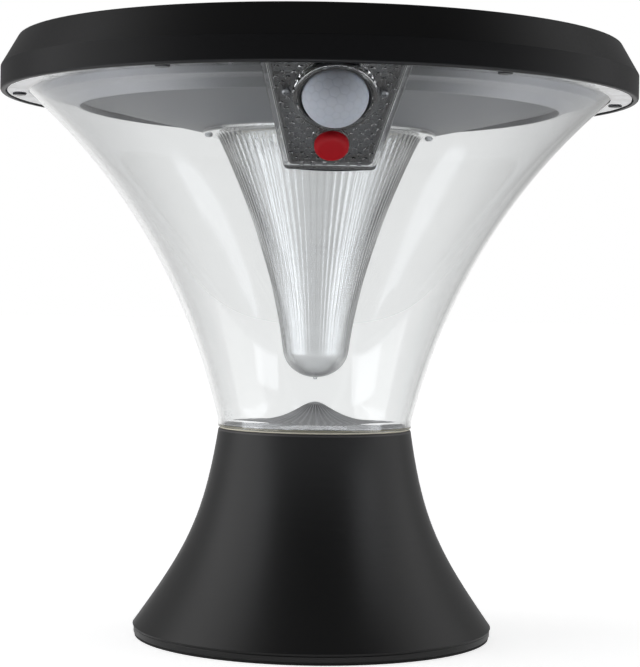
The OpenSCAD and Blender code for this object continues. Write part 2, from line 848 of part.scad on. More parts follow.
module head_pan() {
    color("#8f9194")
        difference() {
            union() {
                revolved(concat(
                    pan_underside,
                    [
                        [floor_hole_r, floor_z + pan_t],
                        [floor_r + 0.5, floor_z + pan_t],
                        [dish_r - 0.5, drum_z + pan_t],
                        [drum_r - pan_t, drum_z + pan_t],
                        [drum_r - pan_t, shelf_z],
                        [flange_r, shelf_z]
                    ]
                ));
                for (p = concat(cradle_posts, board_posts))
                    post(p, small_screw_r + 2, small_screw_r + screw_gap);
                intersection() {
                    at_window()
                        window_screw_places()
                            translate([0, 0, -window_screw_l - 1.5])
                                cylinder(r = small_screw_r + 1.8, h = window_screw_l);
                    pan_envelope(-pan_t / 2);
                }
            }
            translate([0, 0, pan_flange_z - 1])
                ring(seal_r + seal_w + screw_gap, seal_r - screw_gap, seal_t + 1);
            around(flange_screws_n, flange_screw_circle_r, 180 / flange_screws_n)
                translate([0, 0, pan_flange_z - 1]) large_hole(pan_flange_t + 2);
            around(cone_screws_n, cone_screw_circle_r)
                translate([0, 0, floor_z - 1]) small_hole(pan_t + 2);
            around(cone_screws_n, led_screw_circle_r, 45)
                translate([0, 0, floor_z - 1]) small_hole(pan_t + 2);
            at_window()
                window_screw_places()
                    translate([0, 0, -window_screw_l - thread_end])
                        small_hole(window_screw_l);
            translate([cable_hole[0], cable_hole[1], drum_z - 5]) cylinder(r = lead_r + 0.6, h = 12);
        }
}

module led_board() {
    color("#e6e6e2")
        difference() {
            translate([0, 0, led_board_z]) cylinder(r = led_board_r, h = led_board_t);
            translate([0, 0, led_board_z - 1]) cylinder(r = 5, h = led_board_t + 2);
            around(cone_screws_n, led_screw_circle_r, 45)
                translate([0, 0, led_board_z - 1]) small_hole(led_board_t + 2);
        }
}

module leds() {
    color("#f1e08a")
        for (k = [0 : len(led_counts) - 1])
            around(led_counts[k], floor_hole_r - led_ring_inset[k])
                translate([-led_size[1] / 2, -led_size[0] / 2, led_board_z - led_size[2]])
                    cube([led_size[1], led_size[0], led_size[2]]);
}

module led_board_screws() {
    color("#b8b8ba")
        around(cone_screws_n, led_screw_circle_r, 45)
            translate([0, 0, led_board_z + led_board_t])
                mirror([0, 0, 1])
                    screw(small_screw_r, led_board_t + pan_t - thread_end, small_head_r, small_head_h);
}

module light_cone() {
    outer = curve(cone_curve_points, 14);
    inner = curve_beside(cone_curve_points, -cone_wall, 14);
    tip = [for (a = [-15 : -15 : -75]) [cone_tip_r * cos(a), cone_bend_z + cone_tip_h * sin(a)]];
    tip_in = [
        for (a = [-75 : 15 : -15])
            [(cone_tip_r - cone_wall) * cos(a), cone_bend_z + (cone_tip_h - cone_wall) * sin(a)]
    ];
    color("#dfe2e4", 0.5)
        difference() {
            revolved(concat(
                [
                    [inner[0][0], floor_z],
                    [cone_flange_r, floor_z],
                    [cone_flange_r, cone_top_z]
                ],
                outer,
                tip,
                [
                    [stub_r, cone_tip_z],
                    [stub_r, cone_tip_z - stub_h],
                    [0, cone_tip_z - stub_h],
                    [0, cone_tip_z + cone_wall]
                ],
                tip_in,
                reversed(inner)
            ));
            around(cone_screws_n, cone_screw_circle_r)
                translate([0, 0, cone_top_z - 1]) small_hole(cone_flange_t + 2);
        }
}

module cone_screws() {
    color("#c9cacc")
        around(cone_screws_n, cone_screw_circle_r)
            translate([0, 0, cone_top_z])
                screw(small_screw_r, cone_flange_t + pan_t - thread_end, small_head_r, small_head_h);
}

// Battery

module battery_cradle() {
    rib_w = 3;
    wall = 2;
    color("#4d5a66")
        translate([0, battery_y, cradle_z])
            difference() {
                union() {
                    translate([-cradle_l / 2, -cradle_w / 2, 0]) cube([cradle_l, cradle_w, cradle_t]);
                    for (side = [-1, 1]) {
                        translate([-cradle_l / 2, side * (cradle_w - wall) / 2 - wall / 2, 0])
                            cube([cradle_l, wall, cradle_wall_h]);
                        translate([side * (cradle_l - wall) / 2 - wall / 2, -cradle_w / 2, 0])
                            cube([wall, cradle_w, cradle_wall_h]);
                    }
                    for (x = [-1.5, -0.5, 0.5, 1.5])
                        translate([x * battery_l * 0.62 - rib_w / 2, -cradle_w / 2, 0])
                            cube([rib_w, cradle_w, cradle_wall_h - 2]);
                }
                battery_places() cylinder(r = battery_r + 0.1, h = battery_l + 0.4, center = true);
                for (p = cradle_posts)
                    translate([p[0], p[1] - battery_y, -1]) small_hole(20);
                for (p = cradle_posts)
                    translate([p[0], p[1] - battery_y, cradle_t]) cylinder(r = small_head_r + 0.5, h = 20);
            }
}

// One child at the middle of each cell, with its axis along Z
module battery_places() {
    for (row = [0 : battery_rows - 1], column = [0 : battery_columns - 1])
        translate([
            (column - (battery_columns - 1) / 2) * (battery_l + 1),
            (row - (battery_rows - 1) / 2) * (2 * battery_r + 0.2),
            cradle_t + battery_r + small_head_h
        ])
            rotate([0, 90, 0]) children();
}

module battery_cells() {
    color("#3f7fb5")
        translate([0, battery_y, cradle_z])
            battery_places() cylinder(r = battery_r, h = battery_l, center = true);
}

module weld_strips() {
    strip_w = 7;
    middle_z = cradle_z + cradle_t + battery_r + small_head_h;
    strip_l = (battery_rows - 1) * 2 * battery_r + 8;
    color("#b4b0a6")
        for (side = [-1, 1])
            translate([
                side * (battery_l + 0.5 + weld_strip_t / 2) - weld_strip_t / 2,
                battery_y - strip_l / 2,
                middle_z - strip_w / 2
            ])
                cube([weld_strip_t, strip_l, strip_w]);
}

module cradle_screws() {
    color("#b8b8ba")
        for (p = cradle_posts)
            translate([p[0], p[1], cradle_z + cradle_t])
                mirror([0, 0, 1]) screw(small_screw_r, cradle_t + 4, small_head_r, small_head_h);
}

// Control board

board_top_z = cradle_z + board_t;
connector_size = [9, 7, 6];
connector_x = [-36, -12, 12];
// The chips on the control board, each as [x, y, length, width]
chips = [[18, -6, 9, 7], [32, 4, 6, 6], [20, 8, 5, 4], [-42, 2, 8, 6]];
chip_h = 1.4;
front_connector_y = -board_y - board_size[1] / 2 + connector_size[1] / 2;
back_connector_y = -board_y + board_size[1] / 2 - connector_size[1] / 2;

module control_board() {
    color("#1d6b3f")
        difference() {
            translate([-board_size[0] / 2, -board_y - board_size[1] / 2, cradle_z])
                cube([board_size[0], board_size[1], board_t]);
            for (p = board_posts)
                translate([p[0], p[1], cradle_z - 1]) small_hole(board_t + 2);
        }
}

module board_screws() {
    color("#b8b8ba")
        for (p = board_posts)
            translate([p[0], p[1], board_top_z])
                mirror([0, 0, 1]) screw(small_screw_r, board_t + 4, small_head_r, small_head_h);
}

module inductor() {
    color("#5a5148")
        translate([-26, -board_y, board_top_z])
            difference() {
                cylinder(r = 7, h = 6);
                translate([0, 0, 4]) ring(6, 3, 3);
            }
}

module capacitors() {
    capacitor_r = 4;
    capacitor_h = 8.5;
    color("#2f3f74")
        for (x = [-6, 5])
            translate([x, -board_y, board_top_z])
                revolved(rounded([
                    [0, 0],
                    [capacitor_r, 0, 0.4],
                    [capacitor_r, capacitor_h, 0.6],
                    [0, capacitor_h]
                ]));
}

module board_chips() {
    color("#222222")
        for (chip = chips)
            translate([chip[0], chip[1] - board_y, board_top_z]) cube([chip[2], chip[3], chip_h]);
}

module board_connectors() {
    color("#e9e6da") {
        for (x = connector_x)
            translate([x - connector_size[0] / 2, back_connector_y - connector_size[1] / 2, board_top_z])
                cube(connector_size);
        translate([-connector_size[0] / 2, front_connector_y - connector_size[1] / 2, board_top_z])
            cube(connector_size);
    }
}

// Leads. Each starts and ends on the face of what it is soldered or plugged to.

lead_z = board_top_z + connector_size[2] / 2;
lead_start_y = back_connector_y + connector_size[1] / 2;

module panel_lead() {
    end_z = backsheet_z - junction_size[2] / 2;
    color("#a32020")
        tube([
            [connector_x[0], lead_start_y, lead_z],
            [connector_x[0], lead_start_y + 10, lead_z],
            [connector_x[0] + 8, lead_start_y + 24, lead_z + 2],
            [-15, -junction_size[1] / 2 - 18, end_z - 2],
            [-15, -junction_size[1] / 2 - 8, end_z],
            [-15, -junction_size[1] / 2, end_z]
        ], lead_r);
}

module led_lead() {
    color("#d8d8d8")
        tube([
            [connector_x[1], lead_start_y, lead_z],
            [connector_x[1], lead_start_y + 10, lead_z],
            [connector_x[1] + 2, lead_start_y + 22, lead_z - 6],
            [2, -36, led_board_z + 11],
            [4, -30, led_board_z + 6],
            [4, -30, led_board_z + led_board_t]
        ], lead_r);
}

module battery_lead() {
    end_y = battery_y - cradle_w / 2;
    end_z = cradle_z + cradle_wall_h / 2;
    color("#202020")
        tube([
            [connector_x[2], lead_start_y, lead_z],
            [connector_x[2], lead_start_y + 12, lead_z],
            [connector_x[2] + 30, lead_start_y + 40, lead_z - 2],
            [connector_x[2] + 34, end_y - 44, end_z - 1],
            [connector_x[2] + 26, end_y - 14, end_z],
            [connector_x[2] + 26, end_y, end_z]
        ], lead_r);
}

// Where the sensor lead meets the back of the sensor board, straight below the hole in the pan
sensor_lead_end = [
    0,
    cable_hole[1],
    pan_flange_z - (board_face_z - sensor_board_t) / sin(sensor_tilt)
        - (sensor_top_r + cable_hole[1]) / tan(sensor_tilt)
];

module sensor_lead() {
    start_y = front_connector_y - connector_size[1] / 2;
    color("#9a9a9a")
        tube([
            [0, start_y, lead_z],
            [0, start_y - 5, lead_z],
            [0, cable_hole[1] + 9, lead_z + 1.5],
            [0, cable_hole[1] + 1.5, lead_z],
            [0, cable_hole[1], drum_z + pan_t],
            [0, cable_hole[1], drum_z],
            sensor_lead_end
        ], lead_r, [0, -cos(sensor_tilt), -sin(sensor_tilt)]);
}

// Rim and solar panel

module rim_frame() {
    inner_r = rim_r - rim_wall;
    lean = norm([rim_bevel_w, rim_bevel_h]);
    // How far the sloping wall's inner face lies inside its outer face, measured level
    bevel_wall = rim_wall * lean / rim_bevel_h;
    web_z = rim_top_z - rim_wall;
    pilot_h = 4;
    color("#141416")
        difference() {
            union() {
                revolved(concat(
                    rounded([
                        [inner_r, rim_z],
                        [rim_r, rim_z, 1.4],
                        [rim_r, bevel_z, 0.5],
                        [rim_r - rim_bevel_w, rim_top_z, edge_round],
                        [pocket_r, rim_top_z, 0.4],
                        [pocket_r, ledge_z],
                        [ledge_r, ledge_z],
                        [ledge_r, ledge_z - panel_ledge_t],
                        [pocket_r + 2, ledge_z - panel_ledge_t],
                        [pocket_r + 2, web_z],
                        [rim_r - bevel_wall - rim_bevel_w * (web_z - bevel_z) / rim_bevel_h, web_z],
                        [inner_r, bevel_z - 0.7],
                        [inner_r, shelf_z + rim_shelf_t],
                        [inner_r - rim_shelf_w, shelf_z + rim_shelf_t],
                        [inner_r - rim_shelf_w, shelf_z],
                        [inner_r, shelf_z]
                    ])
                ));
                around(flange_screws_n, flange_screw_circle_r, 180 / flange_screws_n)
                    translate([0, 0, shelf_z + rim_shelf_t / 2])
                        cylinder(r = boss_r, h = rim_shelf_t / 2 + pilot_h);
            }
            around(flange_screws_n, flange_screw_circle_r, 180 / flange_screws_n)
                translate([0, 0, shelf_z - 1])
                    large_hole(1 + rim_shelf_t + 3 + thread_end);
        }
}

module panel_adhesive() {
    color("#101010") translate([0, 0, ledge_z]) ring(glass_r, ledge_r + 1, adhesive_t);
}

module panel_backsheet() {
    color("#0d0f14") translate([0, 0, backsheet_z]) cylinder(r = glass_r, h = backsheet_t);
}

cell_field_r = glass_r - cell_margin;
row_pitch = cell_w + cell_gap;
rows_each_side = floor(cell_field_r / row_pitch);
row_numbers = [for (i = [-rows_each_side : rows_each_side - 1]) i + 0.5];

// How many cells fit in a row, and half the width that is free there
function row_reach(row) = sqrt(max(0, pow(cell_field_r, 2) - pow(abs(row) * row_pitch + cell_w / 2, 2)));
function cells_in_row(row) = floor((2 * row_reach(row) + cell_gap) / (cell_l + cell_gap));

module solar_cells() {
    color("#10141f")
        for (row = row_numbers)
            let (n = cells_in_row(row))
            if (n > 0)
                for (i = [0 : n - 1])
                    translate([
                        (i - n / 2) * (cell_l + cell_gap) + cell_gap / 2,
                        row * row_pitch - cell_w / 2,
                        cell_z
                    ])
                        cube([cell_l, cell_w, cell_t]);
}

module cell_ribbons() {
    color("#a9acb0")
        for (row = row_numbers, line = [-1, 1])
            let (half = cells_in_row(row) * (cell_l + cell_gap) / 2)
            if (half > 0)
                translate([-half, row * row_pitch + line * cell_w / 4 - ribbon_w / 2, cell_z + cell_t])
                    cube([2 * half, ribbon_w, ribbon_t]);
}

module panel_glass() {
    color("#20242c", 0.5)
        translate([0, 0, glass_z])
            revolved(rounded([[0, 0], [glass_r, 0], [glass_r, glass_t, 0.6], [0, glass_t]]));
}

module junction_box() {
    color("#161616")
        translate([-junction_size[0] / 2, -junction_size[1] / 2, backsheet_z - junction_size[2]])
            difference() {
                cube(junction_size);
                translate([4, 4, -1]) cube([junction_size[0] - 8, junction_size[1] - 8, 2]);
            }
}

// Sensor window. Its frame has X across, Y up the slope and Z out of the window's face.

module at_window() {
    translate([0, -sensor_top_r, pan_flange_z]) rotate([90 + sensor_tilt, 0, 0]) children();
}

// The window's outline, drawn in by inset on its sides and bottom, with its top at y = top
module window_outline(inset, top = 0) {
    slope = (window_top_w - window_bottom_w) / 2 / window_l;
    side = inset * sqrt(1 + slope * slope);
    top_x = window_top_w / 2 + slope * top - side;
    bottom_y = -window_l + inset;
    bottom_x = window_bottom_w / 2 + slope * inset - side;
    polygon(rounded([
        [-top_x, top],
        [-bottom_x, bottom_y, max(0.5, window_corner_r - inset)],
        [bottom_x, bottom_y, max(0.5, window_corner_r - inset)],
        [top_x, top]
    ]));
}

module window_screw_places() {
    for (side = [-1, 1]) translate([side * window_screw_x, -pir_drop, 0]) children();
}

module sensor_screw_places() {
    for (side = [-1, 1]) translate([side * sensor_screw_x, -sensor_screw_drop, 0]) children();
}

module sensor_cover() {
    color("#70767c", 0.6)
        difference() {
            at_window()
                difference() {
                    union() {
                        translate([0, 0, -window_depth])
                            linear_extrude(window_depth) window_outline(0, trim_over);
                        translate([0, -pir_drop, -1]) cylinder(r = dome_ring_r, h = dome_ring_h + 1);
                    }
                    translate([0, 0, -window_depth - 1])
                        linear_extrude(window_depth - window_t + 1)
                            window_outline(window_wall, trim_over + 5);
                    translate([0, -pir_drop, -window_depth])
                        cylinder(r = dome_hole_r, h = window_depth + dome_ring_h + 1);
                    translate([0, -button_drop, -window_depth])
                        cylinder(r = button_r + button_gap, h = window_depth + 1);
                    window_screw_places()
                        translate([0, 0, -window_depth]) small_hole(window_depth + 1);
                }
            pan_envelope(fit_gap);
        }
}

module sensor_gasket() {
    color("#3a3a3a")
        difference() {
            at_window()
                translate([0, 0, gasket_z])
                    linear_extrude(window_gasket_t)
                        difference() {
                            window_outline(0, trim_over);
                            window_outline(housing_wall, trim_over + 5);
                        }
            pan_envelope(fit_gap);
        }
}

module sensor_housing() {
    color("#46494d")
        difference() {
            union() {
                difference() {
                    at_window()
                        translate([0, 0, housing_back_z])
                            linear_extrude(housing_depth) window_outline(0, trim_over);
                    at_window()
                        translate([0, 0, housing_back_z + housing_wall])
                            linear_extrude(housing_depth) window_outline(housing_wall, trim_over + 5);
                }
                intersection() {
                    at_window() housing_posts();
                    at_window()
                        translate([0, 0, housing_back_z])
                            linear_extrude(-housing_back_z) window_outline(housing_wall / 2, trim_over);
                }
            }
            at_window() {
                window_screw_places()
                    translate([0, 0, housing_back_z - 1])
                        small_hole(1 - housing_back_z);
                sensor_screw_places()
                    translate([0, 0, housing_back_z + 1])
                        small_hole(-housing_back_z);
            }
            pan_envelope(fit_gap);
        }
}

// Tubes round the window's screws, and pillars that carry the sensor board
module housing_posts() {
    pillar_h = board_face_z - sensor_board_t - post_foot_z;
    window_screw_places()
        translate([0, 0, post_foot_z]) cylinder(r = small_screw_r + 1.5, h = -window_t - 0.1 - post_foot_z);
    sensor_screw_places()
        translate([0, 0, post_foot_z]) cylinder(r = small_screw_r + 1.5, h = pillar_h);
}

module window_screws() {
    color("#8d9094")
        at_window()
            window_screw_places()
                mirror([0, 0, 1])
                    screw(small_screw_r, window_screw_l, small_head_r, small_head_h);
}

module sensor_board_screws() {
    color("#b8b8ba")
        at_window()
            sensor_screw_places()
                translate([0, 0, board_face_z])
                    mirror([0, 0, 1])
                        screw(small_screw_r, sensor_board_t + 4, small_head_r, small_head_h);
}

module pir_bezel() {
    bezel_r = dome_hole_r - 0.2;
    bezel_in = dome_r + 0.1;
    color("#0d0d0d")
        difference() {
            at_window()
                translate([0, -pir_drop, 0])
                    revolved([
                        [bezel_in, -window_t - 1.5],
                        [bezel_r + 2, -window_t - 1.5],
                        [bezel_r + 2, -window_t - 0.1],
                        [bezel_r, -window_t - 0.1],
                        [bezel_r, 1.4],
                        [bezel_r - 0.4, 1.8],
                        [bezel_in, 1.8]
                    ]);
            pan_envelope(fit_gap);
        }
}

module pir_lens() {
    base = -window_t - 1.6;
    dome_in = dome_r - dome_wall;
    color("#d9dade")
        difference() {
            at_window()
                translate([0, -pir_drop, 0])
                    revolved(concat(
                        [[dome_in, base - 1], [dome_r + 2, base - 1], [dome_r + 2, base], [dome_r, base]],
                        [for (a = [0 : 6 : 90]) [dome_r * cos(a), 1 + dome_r * sin(a)]],
                        [for (a = [90 : -6 : 0]) [dome_in * cos(a), 1 + dome_in * sin(a)]]
                    ));
            pan_envelope(fit_gap);
        }
}

module sensor_board() {
    color("#1d6b3f")
        difference() {
            at_window()
                translate([0, 0, board_face_z - sensor_board_t])
                    linear_extrude(sensor_board_t)
                        window_outline(housing_wall + 1, can_r + can_flange_w + 0.4 - pir_drop);
            at_window() {
                window_screw_places()
                    translate([0, 0, housing_back_z]) cylinder(r = small_screw_r + 2, h = -housing_back_z);
                sensor_screw_places()
                    translate([0, 0, housing_back_z])
                        small_hole(-housing_back_z);
            }
            pan_envelope(2 * fit_gap);
        }
}

module pir_sensor() {
    color("#c0c2c4")
        at_window()
            translate([0, -pir_drop, board_face_z])
                difference() {
                    revolved([
                        [0, 0],
                        [can_r + can_flange_w, 0],
                        [can_r + can_flange_w, 0.6],
                        [can_r, 0.6],
                        [can_r, can_h],
                        [0, can_h]
                    ]);
                    translate([-2, -1.5, can_h - 0.4]) cube([4, 3, 1]);
                }
}

module tact_switch() {
    color("#30302f")
        at_window()
            translate([0, -button_drop, board_face_z])
                difference() {
                    translate([-switch_w / 2, -switch_w / 2, 0]) cube([switch_w, switch_w, switch_h]);
                    translate([0, 0, 0.3]) cylinder(r = plunger_r + plunger_gap, h = switch_h);
                }
}

button_collar_z = -window_t - button_gap - button_collar_t;
button_stem_z = board_face_z + switch_h + button_travel + button_gap;

module switch_plunger() {
    bottom = board_face_z + 0.4 + button_travel;
    color("#1a1a1a")
        at_window()
            translate([0, -button_drop, bottom]) cylinder(r = plunger_r, h = button_stem_z - bottom);
}

module mode_button() {
    color("#b3121d")
        at_window()
            translate([0, -button_drop, 0])
                revolved(rounded([
                    [0, button_stem_z],
                    [button_stem_r, button_stem_z],
                    [button_stem_r, button_collar_z],
                    [button_collar_r, button_collar_z],
                    [button_collar_r, button_collar_z + button_collar_t],
                    [button_r, button_collar_z + button_collar_t],
                    [button_r, button_rise - 0.5, button_round],
                    [0, button_rise]
                ]));
}

foot_pad();
base_plate();
pedestal();
set_screws();
neck_gasket();
neck_screws();
reflector();
shade();
flange_screws();
shade_seal();
head_pan();
led_board();
leds();
led_board_screws();
light_cone();
cone_screws();
battery_cradle();
battery_cells();
weld_strips();
cradle_screws();
control_board();
board_screws();
inductor();
capacitors();
board_chips();
board_connectors();
panel_lead();
led_lead();
battery_lead();
sensor_lead();
rim_frame();
panel_adhesive();
panel_backsheet();
solar_cells();
cell_ribbons();
panel_glass();
junction_box();
sensor_cover();
sensor_gasket();
sensor_housing();
window_screws();
sensor_board_screws();
pir_bezel();
pir_lens();
sensor_board();
pir_sensor();
tact_switch();
switch_plunger();
mode_button();
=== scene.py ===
import bpy
from math import atan2, ceil, cos, degrees, hypot, pi, radians, sin
from mathutils import Matrix, Vector


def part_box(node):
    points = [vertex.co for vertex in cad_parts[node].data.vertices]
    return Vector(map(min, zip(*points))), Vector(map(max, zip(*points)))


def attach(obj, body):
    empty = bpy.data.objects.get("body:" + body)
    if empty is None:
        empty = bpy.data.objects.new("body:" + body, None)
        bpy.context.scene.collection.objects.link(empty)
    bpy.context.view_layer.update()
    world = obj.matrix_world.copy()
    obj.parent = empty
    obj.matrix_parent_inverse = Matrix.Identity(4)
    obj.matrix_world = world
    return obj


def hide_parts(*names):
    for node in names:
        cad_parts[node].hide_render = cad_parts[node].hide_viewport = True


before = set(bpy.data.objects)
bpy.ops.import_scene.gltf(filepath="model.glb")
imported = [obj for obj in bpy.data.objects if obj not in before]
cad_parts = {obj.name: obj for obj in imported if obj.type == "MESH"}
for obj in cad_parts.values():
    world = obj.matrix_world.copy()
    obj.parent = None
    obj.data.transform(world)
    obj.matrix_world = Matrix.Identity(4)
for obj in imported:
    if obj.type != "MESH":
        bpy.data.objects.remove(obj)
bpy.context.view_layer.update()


# Base plate: a die-cast black disc on a rubber pad, with a ring that centres the pedestal.
# The pedestal is locked to it by two socket set screws in its sides.

MM = 0.001


def paint(code):
    """The linear colour of a six-digit sRGB code."""
    parts = [int(code[i:i + 2], 16) / 255 for i in (0, 2, 4)]
    return [p / 12.92 if p <= 0.04045 else ((p + 0.055) / 1.055) ** 2.4 for p in parts] + [1.0]


def wire(tree, source, target):
    tree.links.new(source, target)


def make_grain():
    """A node group for moulded, cast and painted surfaces: uneven colour and gloss, and a fine bump."""
    group = bpy.data.node_groups.new("grain", "ShaderNodeTree")
    for name, kind, value in (("Colour", "NodeSocketColor", (0.5, 0.5, 0.5, 1)),
                              ("Unevenness", "NodeSocketFloat", 0.1), ("Patch Scale", "NodeSocketFloat", 60),
                              ("Roughness", "NodeSocketFloat", 0.4),
                              ("Gloss Spread", "NodeSocketFloat", 0.05), ("Grain Scale", "NodeSocketFloat", 2500),
                              ("Grain Depth", "NodeSocketFloat", 0.1)):
        group.interface.new_socket(name, in_out="INPUT", socket_type=kind).default_value = value
    for name, kind in (("Colour", "NodeSocketColor"), ("Roughness", "NodeSocketFloat"),
                       ("Normal", "NodeSocketVector")):
        group.interface.new_socket(name, in_out="OUTPUT", socket_type=kind)
    nodes = group.nodes
    given = nodes.new("NodeGroupInput")
    result = nodes.new("NodeGroupOutput")
    place = nodes.new("ShaderNodeTexCoord")
    patches = nodes.new("ShaderNodeTexNoise")
    patches.inputs["Detail"].default_value = 4
    grain = nodes.new("ShaderNodeTexNoise")
    grain.inputs["Detail"].default_value = 2
    for noise, scale in ((patches, "Patch Scale"), (grain, "Grain Scale")):
        wire(group, place.outputs["Object"], noise.inputs["Vector"])
        wire(group, given.outputs[scale], noise.inputs["Scale"])
    centred = nodes.new("ShaderNodeMath")
    centred.operation = "MULTIPLY_ADD"
    wire(group, patches.outputs["Fac"], centred.inputs[0])
    centred.inputs[1].default_value = 2
    centred.inputs[2].default_value = -1
    brightness = nodes.new("ShaderNodeMath")
    brightness.operation = "MULTIPLY_ADD"
    wire(group, centred.outputs[0], brightness.inputs[0])
    wire(group, given.outputs["Unevenness"], brightness.inputs[1])
    brightness.inputs[2].default_value = 1
    coloured = nodes.new("ShaderNodeVectorMath")
    coloured.operation = "SCALE"
    wire(group, given.outputs["Colour"], coloured.inputs[0])
    wire(group, brightness.outputs[0], coloured.inputs["Scale"])
    wire(group, coloured.outputs[0], result.inputs["Colour"])
    gloss = nodes.new("ShaderNodeMath")
    gloss.operation = "MULTIPLY_ADD"
    gloss.use_clamp = True
    wire(group, centred.outputs[0], gloss.inputs[0])
    wire(group, given.outputs["Gloss Spread"], gloss.inputs[1])
    wire(group, given.outputs["Roughness"], gloss.inputs[2])
    wire(group, gloss.outputs[0], result.inputs["Roughness"])
    bump = nodes.new("ShaderNodeBump")
    bump.inputs["Distance"].default_value = 0.1 * MM
    wire(group, given.outputs["Grain Depth"], bump.inputs["Strength"])
    wire(group, grain.outputs["Fac"], bump.inputs["Height"])
    wire(group, bump.outputs["Normal"], result.inputs["Normal"])
    return group


grain_group = make_grain()


def grained(name, colour, roughness, unevenness=0.08, patch=60, spread=0.05, grain=2500, depth=0.1, **sockets):
    """An opaque finish: a Principled shader whose colour, roughness and normal come from the grain group."""
    made = bpy.data.materials.new(name)
    made.use_nodes = True
    tree = made.node_tree
    shader = tree.nodes["Principled BSDF"]
    surface = tree.nodes.new("ShaderNodeGroup")
    surface.node_tree = grain_group
    surface.inputs["Colour"].default_value = paint(colour)
    surface.inputs["Unevenness"].default_value = unevenness
    surface.inputs["Patch Scale"].default_value = patch
    surface.inputs["Roughness"].default_value = roughness
    surface.inputs["Gloss Spread"].default_value = spread
    surface.inputs["Grain Scale"].default_value = grain
    surface.inputs["Grain Depth"].default_value = depth
    wire(tree, surface.outputs["Colour"], shader.inputs["Base Color"])
    wire(tree, surface.outputs["Roughness"], shader.inputs["Roughness"])
    wire(tree, surface.outputs["Normal"], shader.inputs["Normal"])
    for socket, value in sockets.items():
        shader.inputs[socket.replace("_", " ")].default_value = value
    return made


def coat(finish, *names):
    """Gives CAD nodes a finish."""
    for name in names:
        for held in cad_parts[name].material_slots:
            held.material = finish


coat(grained("plate_black", "0f0f10", 0.34, grain=1800, depth=0.25), "base_plate")
coat(grained("foot_rubber", "101010", 0.75, grain=1200, depth=0.5), "foot_pad")
screw_steel = grained("screw_steel", "b4b5b8", 0.3, patch=400, grain=4000, Metallic=1.0)
coat(screw_steel, "set_screws")


# Pedestal: a bell-shaped aluminium casting with a satin graphite powder coat.
# It stands over the base plate's ring, and its rounded neck takes the shade's spigot.

# Heights over which the painted highlight on the neck's lip comes in.
LIP_SHEEN_LOW, LIP_SHEEN_HIGH = 118.5, 119.2


def calculate(tree, operation, *values):
    """A Math node with sockets or numbers as its inputs. Gives its output."""
    node = tree.nodes.new("ShaderNodeMath")
    node.operation = operation
    for slot, value in zip(node.inputs, values):
        if isinstance(value, (int, float)):
            slot.default_value = value
        else:
            wire(tree, value, slot)
    return node.outputs[0]


def ramp(tree, value, start, end, low=0.0, high=1.0):
    """A smooth step from low to high as a value goes from start to end. Gives its output."""
    node = tree.nodes.new("ShaderNodeMapRange")
    node.interpolation_type = "SMOOTHSTEP"
    wire(tree, value, node.inputs["Value"])
    for slot, number in zip(("From Min", "From Max", "To Min", "To Max"), (start, end, low, high)):
        node.inputs[slot].default_value = number
    return node.outputs["Result"]


def split(tree, kind="Object"):
    """The X, Y and Z of a place, in the given coordinates."""
    place = tree.nodes.new("ShaderNodeTexCoord")
    parts = tree.nodes.new("ShaderNodeSeparateXYZ")
    wire(tree, place.outputs[kind], parts.inputs[0])
    return parts.outputs["X"], parts.outputs["Y"], parts.outputs["Z"]


def from_axis(tree, x, y):
    """The distance of a place from the axis."""
    return calculate(tree, "SQRT", calculate(tree, "ADD", calculate(tree, "POWER", x, 2.0),
                                             calculate(tree, "POWER", y, 2.0)))


def tint(made, share, colour):
    """Turns a finish to another colour, by a share that changes over the piece."""
    tree = made.node_tree
    shader = tree.nodes["Principled BSDF"]
    surface = shader.inputs["Base Color"].links[0].from_node
    mixed = tree.nodes.new("ShaderNodeMix")
    mixed.data_type = "RGBA"
    wire(tree, share, mixed.inputs["Factor"])
    wire(tree, surface.outputs["Colour"], mixed.inputs["A"])
    mixed.inputs["B"].default_value = paint(colour)
    wire(tree, mixed.outputs["Result"], shader.inputs["Base Color"])
    return made


def make_pedestal_finish():
    """Graphite powder coat, with a painted highlight: paler on the lip at the top of the neck, where its rounding
    catches the light.
    """
    made = grained("pedestal_black", "141415", 0.4, unevenness=0.12, patch=900, grain=2600, depth=0.3,
                   Specular_IOR_Level=0.4)
    height = split(made.node_tree)[2]
    # The paler band on the lip is a painted highlight, not wear.
    return tint(made, ramp(made.node_tree, height, LIP_SHEEN_LOW * MM, LIP_SHEEN_HIGH * MM), "4a4849")


coat(make_pedestal_finish(), "pedestal")


# Neck gasket: a thin cream silicone ring that the shade is pulled down on, with the four screws
# that hold the shade from below the pedestal's deck.

neck_silicone = grained("neck_silicone", "ddd8c4", 0.5, grain=900, depth=0.3)
coat(neck_silicone, "neck_gasket")
coat(screw_steel, "neck_screws")


# Reflector: a vacuum-metallised plastic disc in the shade's neck. Its middle rises to a soft peak,
# and fine flutes fan out from it to the rim, to spread the light of the cone above.

FLUTE_CORNERS = 72
FLUTE_DEPTH = 2.4
PEAK_SPREAD = 15.0
PEAK_FROM, PEAK_TO = 3, 6
# Radii over which the painted shade in the flute valleys fades out.
VALLEY_SHADE_FROM, VALLEY_SHADE_TO = 5, 16


def lone_circle(corners, radius, height):
    """A circle on the axis, alone in the selection and open for editing. Sizes are in millimetres."""
    bpy.ops.object.select_all(action="DESELECT")
    bpy.ops.mesh.primitive_circle_add(vertices=corners, radius=radius * MM, location=(0, 0, height * MM))
    bpy.ops.object.transform_apply(location=True, rotation=True, scale=True)
    bpy.ops.object.mode_set(mode="EDIT")
    bpy.ops.mesh.select_all(action="SELECT")
    return bpy.context.object


def draw_rings(profile, fan=False):
    """Extrudes the selected ring through the other radii and heights of the profile. With fan, the waves
    of the ring shrink with it."""
    for (r0, z0), (r1, z1) in zip(profile, profile[1:]):
        bpy.ops.mesh.extrude_region_move(TRANSFORM_OT_translate={"value": (0, 0, (z1 - z0) * MM)})
        part = r1 / r0
        bpy.ops.transform.resize(value=(part, part, part if fan else 1), center_override=(0, 0, z1 * MM))


